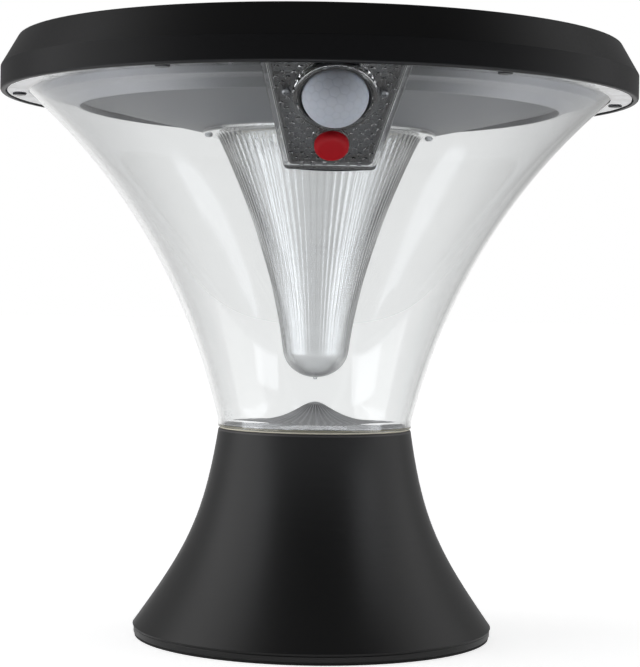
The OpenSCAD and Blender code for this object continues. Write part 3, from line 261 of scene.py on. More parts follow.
def select_corners(piece, chosen):
    """Selects the numbered corners, and no others."""
    bpy.ops.mesh.select_all(action="DESELECT")
    bpy.ops.object.mode_set(mode="OBJECT")
    for index in chosen:
        piece.data.vertices[index].select = True
    bpy.ops.object.mode_set(mode="EDIT")


def flute(piece, corners, depth=0.0, lift=0.0):
    """Moves every second corner of the selected ring inwards by a share of its radius, or up by a height."""
    bpy.ops.object.mode_set(mode="OBJECT")
    places = piece.data.vertices
    ring = [corner.index for corner in places if corner.select]
    steps = {index: round(degrees(atan2(places[index].co.y, places[index].co.x)) * corners / 360) for index in ring}
    bpy.ops.object.mode_set(mode="EDIT")
    select_corners(piece, [index for index in ring if steps[index] % 2 == 0])
    bpy.ops.transform.resize(value=(1 - depth, 1 - depth, 1), center_override=(0, 0, 0))
    bpy.ops.transform.translate(value=(0, 0, lift * MM))
    select_corners(piece, ring)


def close_mesh(piece, name):
    """Merges doubles, turns the faces outwards, leaves edit mode and names the piece."""
    bpy.ops.mesh.select_all(action="SELECT")
    bpy.ops.mesh.remove_doubles(threshold=0.001 * MM)
    bpy.ops.mesh.normals_make_consistent(inside=False)
    bpy.ops.object.mode_set(mode="OBJECT")
    piece.name = name


def apply_modifier(piece, kind, **settings):
    bpy.context.view_layer.objects.active = piece
    made = piece.modifiers.new(kind.title(), kind)
    for setting, value in settings.items():
        setattr(made, setting, value)
    bpy.ops.object.modifier_apply(modifier=made.name)


def smooth_piece(piece, angle=30):
    bpy.ops.object.select_all(action="DESELECT")
    piece.select_set(True)
    bpy.context.view_layer.objects.active = piece
    bpy.ops.object.shade_smooth_by_angle(angle=radians(angle))


def fit(piece, finish, body, slot, *nodes):
    """Gives a finished piece its finish, its body and the CAD nodes that it stands for. The slot is not used."""
    piece.data.materials.clear()
    piece.data.materials.append(finish)
    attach(piece, body)
    if nodes:
        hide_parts(*nodes)


def part_finish(piece, finish, chosen):
    """Gives the chosen faces of a fitted piece a second finish."""
    piece.data.materials.append(finish)
    for face in piece.data.polygons:
        if chosen(face):
            face.material_index = len(piece.data.materials) - 1


def make_reflector_finish():
    """Vacuum-plated aluminium, with painted shade in the valleys of the flutes, strongest round the peak and left off
    its very top.
    """
    made = grained("reflector_silver", "e6e6e9", 0.33, unevenness=0.2, patch=1500, spread=0.08, grain=1500,
                   depth=0.3, Metallic=0.4)
    tree = made.node_tree
    x, y, _ = split(tree)
    turn = calculate(tree, "ARCTAN2", y, x)
    wave = calculate(tree, "COSINE", calculate(tree, "MULTIPLY", turn, FLUTE_CORNERS / 2))
    radius = from_axis(tree, x, y)
    # Painted shade: the flute valleys are darkened, most near the peak.
    valley_shade = calculate(tree, "MULTIPLY", ramp(tree, wave, 0.1, 0.75, 1.0, 0.0),
                       ramp(tree, radius, VALLEY_SHADE_FROM * MM, VALLEY_SHADE_TO * MM, 0.85, 0.25))
    return tint(made, calculate(tree, "MULTIPLY", valley_shade, ramp(tree, radius, PEAK_FROM * MM, PEAK_TO * MM)), "4c4a50")


def make_reflector():
    low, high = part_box("reflector")
    rim = high[0] / MM
    seat = low[2] / MM + 3.0
    thick = 1.5
    peak = high[2] / MM - seat - thick
    rest = 1 / (1 + (rim / PEAK_SPREAD) ** 2)

    def height(r):
        return seat + thick + peak * (1 / (1 + (r / PEAK_SPREAD) ** 2) - rest) / (1 - rest)

    radii = [(rim - 0.8) * (1 - k / 22) for k in range(22)] + [0.6]
    foot = rim - 0.6
    piece = lone_circle(FLUTE_CORNERS, foot, low[2] / MM + 0.1)
    draw_rings([(foot, low[2] / MM + 0.1), (foot, seat - 0.4), (foot, seat), (rim + 0.1, seat + 0.1),
                (rim + 0.1, seat + thick - 0.5), (radii[0], height(radii[0]))])
    flute(piece, FLUTE_CORNERS, lift=-FLUTE_DEPTH)
    draw_rings([(r, height(r)) for r in radii], fan=True)
    bpy.ops.mesh.merge(type="CENTER")
    close_mesh(piece, "reflector_flutes")
    apply_modifier(piece, "SUBSURF", levels=2, render_levels=2)
    apply_modifier(piece, "SOLIDIFY", thickness=0.8 * MM, offset=-1)
    smooth_piece(piece, 60)
    fit(piece, make_reflector_finish(), "light", "reflector_silver", "reflector")
    part_finish(piece, neck_silicone, lambda face: face.center.z < (seat - 0.1) * MM)


make_reflector()


# Clear shade: a trumpet of clear gloss plastic, injection moulded in one piece with its spigot and flange.
# Black screws and a rubber seal hold its flange under the head.


def clear(name, colour, roughness=0.0, ior=1.49, haze=0.01):
    """A clear plastic, with a trace of unevenness in its gloss."""
    made = bpy.data.materials.new(name)
    made.use_nodes = True
    tree = made.node_tree
    shader = tree.nodes["Principled BSDF"]
    surface = tree.nodes.new("ShaderNodeGroup")
    surface.node_tree = grain_group
    surface.inputs["Colour"].default_value = paint(colour)
    surface.inputs["Unevenness"].default_value = 0.01
    surface.inputs["Patch Scale"].default_value = 40
    surface.inputs["Roughness"].default_value = roughness
    surface.inputs["Gloss Spread"].default_value = haze
    surface.inputs["Grain Scale"].default_value = 300
    surface.inputs["Grain Depth"].default_value = 0.0
    wire(tree, surface.outputs["Colour"], shader.inputs["Base Color"])
    wire(tree, surface.outputs["Roughness"], shader.inputs["Roughness"])
    shader.inputs["Transmission Weight"].default_value = 1.0
    shader.inputs["IOR"].default_value = ior
    return made


def bezier(points, t):
    a, b, c, d = points
    return tuple((1 - t) ** 3 * a[i] + 3 * (1 - t) ** 2 * t * b[i] + 3 * (1 - t) * t * t * c[i] + t ** 3 * d[i]
                 for i in (0, 1))


def beside(points, offset, steps):
    """A row of places at an offset to the left of a bezier curve."""
    made = []
    for k in range(steps + 1):
        r, z = bezier(points, k / steps)
        r0, z0 = bezier(points, max(0.0, k - 0.5) / steps)
        r1, z1 = bezier(points, min(steps, k + 0.5) / steps)
        along = hypot(r1 - r0, z1 - z0)
        made.append((r - (z1 - z0) / along * offset, z + (r1 - r0) / along * offset))
    return made


def turned(name, profile, corners):
    """A closed profile of radii and heights, turned round the axis."""
    piece = lone_circle(corners, *profile[0])
    draw_rings(profile + [profile[0]])
    close_mesh(piece, name)
    return piece


WINDOW_TILT = 45.0
WINDOW_TOP = (0, -173.6, 315.0)
WINDOW_LENGTH = 74.0
TOP_WIDTH, BOTTOM_WIDTH = 78.0, 47.4
DOME_DROP, DOME_RING = 22.2, 21.6
WINDOW_SLOPE = (TOP_WIDTH - BOTTOM_WIDTH) / 2 / WINDOW_LENGTH
WINDOW_FIT = 0.35
WINDOW_CORNER = 2.4


def half_width(drop):
    """Half the window's width at a distance down its slope."""
    return TOP_WIDTH / 2 - WINDOW_SLOPE * drop


def onto_window(piece):
    """Moves a piece from the window's own frame, X across, Y up its slope and Z out of it, to its place."""
    bpy.ops.object.select_all(action="DESELECT")
    piece.select_set(True)
    bpy.context.view_layer.objects.active = piece
    piece.rotation_euler = (radians(90 + WINDOW_TILT), 0, 0)
    piece.location = [v * MM for v in WINDOW_TOP]
    bpy.ops.object.transform_apply(location=True, rotation=True, scale=True)


def window_prism(name, inset, top, low, high):
    """The window's outline, drawn in by inset, from one height over its face to another."""
    bpy.ops.object.select_all(action="DESELECT")
    bpy.ops.mesh.primitive_plane_add(size=1)
    prism = bpy.context.object
    prism.name = name
    side = inset * hypot(1, WINDOW_SLOPE)
    lower = []
    for place in prism.data.vertices:
        drop = -top if place.co.y > 0 else WINDOW_LENGTH - inset
        if place.co.y < 0:
            lower.append(place.index)
        place.co = ((1 if place.co.x > 0 else -1) * (half_width(drop) - side) * MM, -drop * MM, low * MM)
    bpy.ops.object.mode_set(mode="EDIT")
    bpy.ops.mesh.select_mode(type="VERT")
    select_corners(prism, lower)
    bpy.ops.mesh.bevel(offset=WINDOW_CORNER * MM, segments=6, affect="VERTICES")
    bpy.ops.mesh.select_all(action="SELECT")
    bpy.ops.mesh.extrude_region_move(TRANSFORM_OT_translate={"value": (0, 0, (high - low) * MM)})
    close_mesh(prism, name)
    return prism


def drill(x, y, radius, low=-20.0, high=20.0):
    """A round cutter across the window's face, in the window's own frame."""
    bpy.ops.object.select_all(action="DESELECT")
    bpy.ops.mesh.primitive_cylinder_add(vertices=96, radius=radius * MM, depth=(high - low) * MM,
                                        location=(x * MM, y * MM, (low + high) / 2 * MM))
    return bpy.context.object


def cut(piece, tool, operation="DIFFERENCE"):
    """Cuts a tool's shape out of a piece, or joins it on, and removes the tool."""
    apply_modifier(piece, "BOOLEAN", operation=operation, solver="EXACT", object=tool)
    bpy.data.objects.remove(tool)


SHADE_CORNERS = 288
SHADE_WALL = 3.0
SHADE_SOAK = 18.0
FLARE = [(56.6, 125.2), (63.1, 147.9), (82.0, 237.2), (168.0, 312.0)]
FLARE_STEPS = 88
SCREW_COUNT, SCREW_CIRCLE = 6, 174.0


def around_flange(piece):
    """Copies a small piece from the axis to the flange's screw places, each copy with its own mesh, as one."""
    copies = []
    for k in range(SCREW_COUNT):
        angle = radians(k * 360 / SCREW_COUNT)
        copy = piece.copy()
        copy.data = piece.data.copy()
        bpy.context.collection.objects.link(copy)
        copy.location = (SCREW_CIRCLE * MM * cos(angle), SCREW_CIRCLE * MM * sin(angle), 0)
        copies.append(copy)
    bpy.data.objects.remove(piece)
    return join_all(copies)


def join_all(pieces):
    """Joins pieces into the first, with their places in its mesh."""
    bpy.ops.object.select_all(action="DESELECT")
    for piece in pieces:
        piece.select_set(True)
    bpy.context.view_layer.objects.active = pieces[0]
    bpy.ops.object.transform_apply(location=True, rotation=True, scale=True)
    bpy.ops.object.join()
    return bpy.context.object


def make_shade():
    inner = beside(FLARE, SHADE_WALL, FLARE_STEPS)
    profile = ([(38, 107.2), (52.6, 107.2), (53, 107.6), (53, 121.2), (56.3, 121.2), (56.6, 121.5)]
               + [bezier(FLARE, k / FLARE_STEPS) for k in range(FLARE_STEPS + 1)]
               + [(180.0, 312.0), (180.4, 312.4), (180.4, 314.6), (180.0, 315), (inner[-1][0], 315)]
               + [place for place in reversed(inner) if place[1] < 314.4]
               + [(53.6, 122.4), (50.2, 122.4), (50.2, 110.7), (38, 110.7)])
    shade = turned("shade_trumpet", profile, SHADE_CORNERS)
    for tool in (window_prism("opening", -WINDOW_FIT, 30, -30, WINDOW_FIT),
                 window_prism("opening", -WINDOW_FIT, -8, -1, 11.4),
                 drill(0, -DOME_DROP, DOME_RING + WINDOW_FIT, -1, 6.8)):
        onto_window(tool)
        cut(shade, tool)
    smooth_piece(shade, 30)
    finish = clear("clear_shade", "f8f9f9")
    soak = finish.node_tree.nodes.new("ShaderNodeVolumeAbsorption")
    soak.inputs["Color"].default_value = (0.5, 0.5, 0.5, 1)
    soak.inputs["Density"].default_value = SHADE_SOAK
    wire(finish.node_tree, soak.outputs[0], finish.node_tree.nodes["Material Output"].inputs["Volume"])
    fit(shade, finish, "light", "clear_shade", "shade")


def make_flange_screws():
    head, shank = 4.0, 1.9
    model = lone_circle(24, shank, 322)
    draw_rings([(shank, 322), (shank, 312.0), (head, 312.0), (head, 311.6), (head - 0.4, 311.2),
                (2.0, 311.1), (1.6, 311.7)])
    bpy.ops.mesh.merge(type="CENTER")
    close_mesh(model, "flange_screw")
    screws = around_flange(model)
    screws.name = "flange_screw_heads"
    smooth_piece(screws, 30)
    fit(screws, grained("screw_black", "3a3a3c", 0.35, grain=3000, depth=0.2, Metallic=0.8), "light",
        "screw_black", "flange_screws")


make_shade()
make_flange_screws()
coat(grained("seal_rubber", "333435", 0.7, grain=900, depth=0.4), "shade_seal")


# Light cone: a clear moulded lens that hangs from the head, with 72 fine flutes down its outside,
# a smooth bore, and the stub of its moulding gate on the tip.

CONE_CORNERS = 144
FLUTE_SHARE = 0.028
CONE_WALL = 2.2
NOSE_TURNS = (12, 24, 36, 48, 60, 70, 79, 86)
STUB_RADIUS = 1.2


def make_cone():
    low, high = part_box("light_cone")
    top = high[2] / MM
    tip = low[2] / MM + 1.0
    flange, body, bend = high[0] / MM, 59.9, 19.6
    under, dome, wall = top - 2.5, 17.4, CONE_WALL
    handles = [(body, under), (body - 45 * sin(radians(26)), under - 45 * cos(radians(26))),
               (bend + 41 * sin(radians(7.5)), tip + dome + 41 * cos(radians(7.5))), (bend, tip + dome)]
    flank = [bezier(handles, k / 16) for k in range(17)]
    nose = [(bend * cos(radians(a)), tip + dome - dome * sin(radians(a))) for a in NOSE_TURNS]

    outer = lone_circle(CONE_CORNERS, flange, top)
    draw_rings([(flange, top), (flange, top - 0.3), (flange, under + 0.3), (flange - 0.3, under),
                (body + 1.2, under), (body + 0.2, under - 0.1)])
    flute(outer, CONE_CORNERS, depth=FLUTE_SHARE)
    draw_rings([(body + 0.2, under - 0.1)] + [(r, z) for r, z in flank[1:]] + nose)
    bpy.ops.mesh.merge(type="CENTER")
    close_mesh(outer, "light_cone_flutes")
    apply_modifier(outer, "SUBSURF", levels=2, render_levels=2)

    inner = lone_circle(CONE_CORNERS * 2, body - wall, top)
    draw_rings([(body - wall, top), (body - wall - 0.2, top - 0.4)]
               + [(r - wall * 1.06, z) for r, z in flank[1:]]
               + [((bend - wall) * cos(radians(a)), tip + dome - (dome - wall) * sin(radians(a)))
                  for a in NOSE_TURNS])
    bpy.ops.mesh.merge(type="CENTER")
    close_mesh(inner, "light_cone_bore")
    bpy.ops.object.select_all(action="DESELECT")
    apply_modifier(inner, "SUBSURF", levels=1, render_levels=1)

    bpy.ops.object.select_all(action="DESELECT")
    inner.select_set(True)
    outer.select_set(True)
    bpy.context.view_layer.objects.active = outer
    bpy.ops.object.join()
    bpy.ops.object.mode_set(mode="EDIT")
    select_corners(outer, [corner.index for corner in outer.data.vertices if corner.co.z > (top - 0.02) * MM])
    bpy.ops.mesh.bridge_edge_loops()
    close_mesh(outer, "light_cone_flutes")
    stub = lone_circle(20, STUB_RADIUS, tip + 0.3)
    draw_rings([(STUB_RADIUS, tip + 0.3), (STUB_RADIUS, tip - 0.8), (1.0, tip - 1.0), (0.5, tip - 1.0)])
    bpy.ops.mesh.merge(type="CENTER")
    bpy.ops.mesh.select_all(action="SELECT")
    bpy.ops.mesh.fill_holes(sides=0)
    close_mesh(stub, "gate_stub")
    cut(outer, stub, "UNION")
    smooth_piece(outer, 50)
    finish = clear("clear_cone", "f2f3f4", 0.09, haze=0.03)
    shader = finish.node_tree.nodes["Principled BSDF"]
    shader.inputs["Coat Weight"].default_value = 1.0
    shader.inputs["Coat IOR"].default_value = 1.8
    shader.inputs["Coat Roughness"].default_value = 0.08
    fit(outer, finish, "light", "clear_cone", "light_cone")


make_cone()
coat(grained("screw_zinc", "c9cbce", 0.55, patch=400, grain=4000, Metallic=0.6), "cone_screws")


# Head pan: a grey plastic dish that closes the head from below and carries all that is in it. The white
# LED board lies over the light cone, with its diodes facing down into it.

DISH_RADIUS = 138.5
# Half-widths over which the painted shade beside the window fades out.
WINDOW_SHADE_FROM, WINDOW_SHADE_TO = 38, 112


def make_pan_finish():
    """Grey plastic, with painted shade beside the sensor window, darker towards the front middle."""
    made = grained("pan_grey", "babbc0", 0.42, unevenness=0.05, grain=1500, depth=0.25)
    tree = made.node_tree
    x, y, _ = split(tree)
    front = ramp(tree, y, -70 * MM, -130 * MM)
    centre = ramp(tree, calculate(tree, "ABSOLUTE", x), WINDOW_SHADE_FROM * MM, WINDOW_SHADE_TO * MM, 1.0, 0.0)
    # The darker grey near the window is painted shade.
    return tint(made, calculate(tree, "MULTIPLY", front, centre), "585b60")


def make_pan():
    pan = turned("pan_dish", [(180.4, 315), (159.9, 315), (159.5, 314.6), (159.5, 310.7), (159.1, 310.3),
                              (147.8, 309.4), (146.9, 309.0), (141.0, 305.4), (140.2, 304.9), (139.4, 304.7),
                              (138.7, 304.9), (138.3, 305.5), (138.2, 308.2), (137, 308.2), (71, 294.3),
                              (69, 294), (56, 294), (56, 296.5), (70.5, 296.5), (147.5, 312.8), (157, 312.8),
                              (157, 319), (180.4, 319)], SHADE_CORNERS)
    smooth_piece(pan, 35)
    fit(pan, make_pan_finish(), "light", "pan_grey", "head_pan")
    # Painted shade: the dish inside the rib is the same grey plastic, painted darker where it lies in shadow.
    part_finish(pan, grained("pan_dish_shade", "5b5e64", 0.5, unevenness=0.08, patch=25, grain=1500, depth=0.25),
                lambda face: hypot(face.center.x, face.center.y) < DISH_RADIUS * MM)
    return pan


pan = make_pan()
coat(grained("led_board_white", "e6e6e0", 0.45, grain=700, depth=0.1), "led_board")
coat(grained("led_phosphor", "ece3bd", 0.35, patch=900, unevenness=0.15), "leds")
coat(screw_steel, "led_board_screws", "board_screws", "cradle_screws")


# Battery and control board: six cells with welded nickel strips in a plastic cradle behind the cone, and
# the green board in front of it, with its choke, capacitors, chips, sockets and leads.

coat(grained("cradle_grey", "4d5a66", 0.5, grain=1200, depth=0.3), "battery_cradle")
coat(grained("battery_sleeve", "3a78ad", 0.28, unevenness=0.1, patch=150), "battery_cells")
coat(grained("nickel_strip", "b8b4aa", 0.32, patch=300, Metallic=1.0), "weld_strips")
coat(grained("circuit_board", "1c6a3e", 0.38, unevenness=0.25, patch=500, grain=1500, depth=0.3), "control_board")
coat(grained("ferrite", "57504a", 0.6, grain=2500, depth=0.5), "inductor")
coat(grained("capacitor_sleeve", "2d3d73", 0.3, patch=300), "capacitors")
coat(grained("chip_black", "1e1e1e", 0.5, grain=3000, depth=0.4), "board_chips", "tact_switch")
coat(grained("connector_ivory", "e7e3d4", 0.4, patch=300), "board_connectors")
coat(grained("lead_red", "a32020", 0.45, patch=400), "panel_lead")
coat(grained("lead_white", "d8d8d6", 0.45, patch=400), "led_lead")
coat(grained("lead_black", "1e1e1e", 0.45, patch=400), "battery_lead")
coat(grained("lead_grey", "9a9a98", 0.45, patch=400), "sensor_lead")


# Head rim and solar panel: a black moulded rim with a sloping band, and in it a glass panel over rows of
# dark silicon cells, bonded to a ledge with a bead of adhesive.

FINGER_GAP, FINGER_SHARE = 2.0, 0.08

coat(grained("rim_black", "060608", 0.42, unevenness=0.15, patch=700, grain=2200, depth=0.2,
             Specular_IOR_Level=0.16), "rim_frame")
coat(grained("adhesive_black", "121212", 0.6), "panel_adhesive")
coat(grained("backsheet_black", "0b0d12", 0.5), "panel_backsheet")
coat(grained("junction_black", "161616", 0.5, grain=1500, depth=0.4), "junction_box")
coat(grained("ribbon_silver", "a9acb0", 0.35, patch=500, Metallic=1.0), "cell_ribbons")


def make_cell_finish():
    """Dark blue silicon with fine silver contact fingers across each cell."""
    made = grained("solar_cell", "0b1020", 0.25, unevenness=0.3, patch=120, grain=900, depth=0.05)
    tree = made.node_tree
    count = calculate(tree, "MULTIPLY", split(tree)[0], 1 / (FINGER_GAP * MM))
    return tint(made, calculate(tree, "LESS_THAN", calculate(tree, "FRACT", count), FINGER_SHARE), "5d6470")


coat(make_cell_finish(), "solar_cells")
coat(clear("panel_glass", "eef2f6", 0.02, ior=1.5), "panel_glass")


# Sensor window: a clear tray with a beaded face, fixed in the shade over a dark housing. Its ring guards
# the motion sensor's milky lens, and below that is the mode button.

FACE, DEPTH, WALL = 2.5, 6.0, 2.5
BUTTON_DROP = 56.6
DOME_HOLE, BUTTON_HOLE = 19.3, 9.3
SCREW_SIDE, SCREW_HOLE = 24.6, 1.35
GUARD_HEIGHT = 4.8
KNURLS, KNURL_SHARE = 96, 0.008
BEAD_RADIUS, BEAD_RISE = 1.35, 0.75
BEADS_ACROSS, BEADS_DOWN = 6.0, 3.3
PAN_UNDERSIDE = 314.6


def select_faces(piece, test):
    bpy.ops.mesh.select_mode(type="FACE")
    bpy.ops.mesh.select_all(action="DESELECT")
    bpy.ops.object.mode_set(mode="OBJECT")
    for face in piece.data.polygons:
        face.select = test(face)
    bpy.ops.object.mode_set(mode="EDIT")


def trim(piece, height):
    """Cuts off all of a piece that is over a height."""
    bpy.ops.object.select_all(action="DESELECT")
    piece.select_set(True)
    bpy.context.view_layer.objects.active = piece
    bpy.ops.object.mode_set(mode="EDIT")
    bpy.ops.mesh.select_mode(type="VERT")
    bpy.ops.mesh.select_all(action="SELECT")
    bpy.ops.mesh.bisect(plane_co=(0, 0, height * MM), plane_no=(0, 0, 1), clear_outer=True, use_fill=True)
    bpy.ops.object.mode_set(mode="OBJECT")


def make_guard():
    """The clear ring round the lens, with a knurled outer edge."""
    inside, outside = DOME_HOLE - 0.5, DOME_RING - 0.25
    ring = lone_circle(KNURLS, inside, -0.5)
    draw_rings([(inside, -0.5), (inside, GUARD_HEIGHT - 0.3), (inside + 0.1, GUARD_HEIGHT - 0.1),
                (inside + 0.3, GUARD_HEIGHT), (outside - 0.8, GUARD_HEIGHT), (outside - 0.4, GUARD_HEIGHT - 0.1),
                (outside - 0.12, GUARD_HEIGHT - 0.35), (outside, GUARD_HEIGHT - 0.75)])
    flute(ring, KNURLS, depth=KNURL_SHARE)
    draw_rings([(outside, GUARD_HEIGHT - 0.75), (DOME_RING, -0.5), (inside, -0.5)])
    close_mesh(ring, "sensor_guard")
    for corner in ring.data.vertices:
        corner.co.y -= DOME_DROP * MM
    return ring


def make_beads():
    """The small round studs on the window's face, in staggered rows."""
    r, rise, sunk = BEAD_RADIUS, BEAD_RISE, -0.3
    model = lone_circle(28, r, sunk)
    draw_rings([(r, sunk), (r, rise * 0.35), (r * 0.97, rise * 0.62), (r * 0.9, rise * 0.84),
                (r * 0.8, rise * 0.96), (r * 0.66, rise), (r * 0.2, rise)])
    bpy.ops.mesh.merge(type="CENTER")
    bpy.ops.mesh.select_all(action="SELECT")
    bpy.ops.mesh.fill_holes(sides=0)
    close_mesh(model, "bead")
    copies = []
    for row in range(1, ceil((WINDOW_LENGTH - 3.6) / BEADS_DOWN)):
        drop = row * BEADS_DOWN
        for step in range(-8, 9):
            x = (step + 0.5 * (row % 2)) * BEADS_ACROSS
            if (abs(x) > half_width(drop) - 4.6 or hypot(x, drop - DOME_DROP) < DOME_RING + BEAD_RADIUS + 0.4
                    or hypot(x, drop - BUTTON_DROP) < BUTTON_HOLE + BEAD_RADIUS + 0.2
                    or hypot(abs(x) - SCREW_SIDE, drop - DOME_DROP) < 2.4 + BEAD_RADIUS):
                continue
            copy = model.copy()
            copy.data = model.data.copy()
            bpy.context.collection.objects.link(copy)
            copy.location = (x * MM, -drop * MM, 0)
            copies.append(copy)
    bpy.data.objects.remove(model)
    return join_all(copies)


def make_window():
    cover = window_prism("sensor_window", 0, 8, -DEPTH, 0)
    bpy.ops.object.mode_set(mode="EDIT")
    select_faces(cover, lambda face: face.normal.z < -0.9)
    bpy.ops.mesh.inset(thickness=WALL * MM)
    bpy.ops.mesh.extrude_region_move(TRANSFORM_OT_translate={"value": (0, 0, (DEPTH - FACE) * MM)})
    bpy.ops.mesh.region_to_loop()
    bpy.ops.mesh.bevel(offset=0.9 * MM, segments=1, affect="EDGES")
    select_faces(cover, lambda face: face.normal.z > 0.9 and face.center.z > -0.1 * MM)
    bpy.ops.mesh.region_to_loop()
    bpy.ops.mesh.bevel(offset=0.8 * MM, segments=3, affect="EDGES")
    bpy.ops.mesh.select_mode(type="VERT")
    close_mesh(cover, "sensor_window")
    cut(cover, make_guard(), "UNION")
    cut(cover, make_beads(), "UNION")
    for x, y, radius in ((0, -DOME_DROP, DOME_HOLE), (0, -BUTTON_DROP, BUTTON_HOLE),
                         (SCREW_SIDE, -DOME_DROP, SCREW_HOLE), (-SCREW_SIDE, -DOME_DROP, SCREW_HOLE)):
        cut(cover, drill(x, y, radius))
    fit(cover, clear("clear_window", "f9fafa", 0.0), "light", "clear_window", "sensor_cover")
    # Painted highlight: the bevels inside the clear walls get an opaque pale finish that stands for the bright lines
    # seen there.
    part_finish(cover, grained("edge_highlight", "fafaf8", 0.25, patch=300, grain=900, depth=0.2),
                lambda face: -0.95 < face.normal.z < -0.3 and -DEPTH < face.center.z / MM < -FACE)
    onto_window(cover)
    trim(cover, PAN_UNDERSIDE)
    smooth_piece(cover, 40)


def make_housing():
    back, wall = -16.5, 2.0
    housing = window_prism("sensor_box", WALL + 0.2, 8, back, -FACE - 0.1)
    bpy.ops.object.mode_set(mode="EDIT")
    select_faces(housing, lambda face: face.normal.z > 0.9)
    bpy.ops.mesh.inset(thickness=wall * MM)
    bpy.ops.mesh.extrude_region_move(TRANSFORM_OT_translate={"value": (0, 0, (back + wall + FACE + 0.1) * MM)})
    bpy.ops.mesh.select_mode(type="VERT")
    close_mesh(housing, "sensor_box")
    onto_window(housing)
    trim(housing, PAN_UNDERSIDE)
    solid_pan = pan.copy()
    solid_pan.data = pan.data.copy()
    bpy.context.collection.objects.link(solid_pan)
    cut(housing, solid_pan)
    smooth_piece(housing, 30)
    fit(housing, grained("housing_grey", "24272b", 0.45, grain=1300, depth=0.3), "light", "housing_grey",
        "sensor_housing")


def make_sleeve():
    """The black tube in the clear guard, round the lens."""
    inner, outer, top = 17.9, DOME_HOLE - 0.55, GUARD_HEIGHT - 0.5
    sleeve = turned("lens_sleeve", [(inner, -2.4), (outer, -2.4), (outer, top - 0.2), (outer - 0.2, top),
                                    (inner + 0.2, top), (inner, top - 0.2)], 96)
    sleeve.location = (0, -DOME_DROP * MM, 0)
    bpy.ops.object.transform_apply(location=True, rotation=True, scale=True)
    onto_window(sleeve)
    smooth_piece(sleeve, 35)
    fit(sleeve, bezel_black, "light", "bezel_black")


make_window()
make_housing()
bezel_black = grained("bezel_black", "0c0c0c", 0.45, patch=300)
make_sleeve()
coat(clear("gasket_clear", "fafafa", 0.02), "sensor_gasket")
coat(grained("mask_slate", "3a3f46", 0.45, unevenness=0.2, patch=500), "sensor_board")
coat(grained("screw_blacked", "6e7072", 0.4, patch=400, grain=4000, Metallic=0.9), "window_screws",
     "sensor_board_screws")
coat(bezel_black, "pir_bezel", "switch_plunger")
coat(grained("sensor_can", "c0c2c4", 0.3, Metallic=1.0), "pir_sensor")


def make_button():
    cap, collar, rise, under = 9.0, 9.9, 4.4, -3.6
    button = lone_circle(64, 2.0, under - 1)
    draw_rings([(2.0, under - 1), (2.0, under), (collar, under), (collar, under + 0.8), (cap, under + 0.9),
                (cap, -0.5), (cap, rise - 3.2)]
               + [(cap - 3.6 + 3.6 * cos(radians(a)), rise - 3.2 + 3.0 * sin(radians(a)))
                  for a in (15, 30, 45, 60, 75, 90)]
               + [(cap * 0.35, rise)])
    bpy.ops.mesh.merge(type="CENTER")
    close_mesh(button, "mode_button_cap")
    button.location = (0, -BUTTON_DROP * MM, 0)
    bpy.ops.object.transform_apply(location=True, rotation=True, scale=True)
    fit(button, grained("button_red", "9c0a16", 0.6, patch=300, grain=1800, depth=0.1, Specular_IOR_Level=0.1),
        "button", "button_red", "mode_button")
    part_finish(button, grained("button_boot", "0d0d0d", 0.7, patch=300), lambda face: face.center.z < -0.6 * MM)
    onto_window(button)
    smooth_piece(button, 35)


make_button()


# Motion sensor lens: a milky dome of small hexagonal lenses, moulded in one thin shell.

LENS_RADIUS = 17.2
GROOVE_LEVEL = 0.99


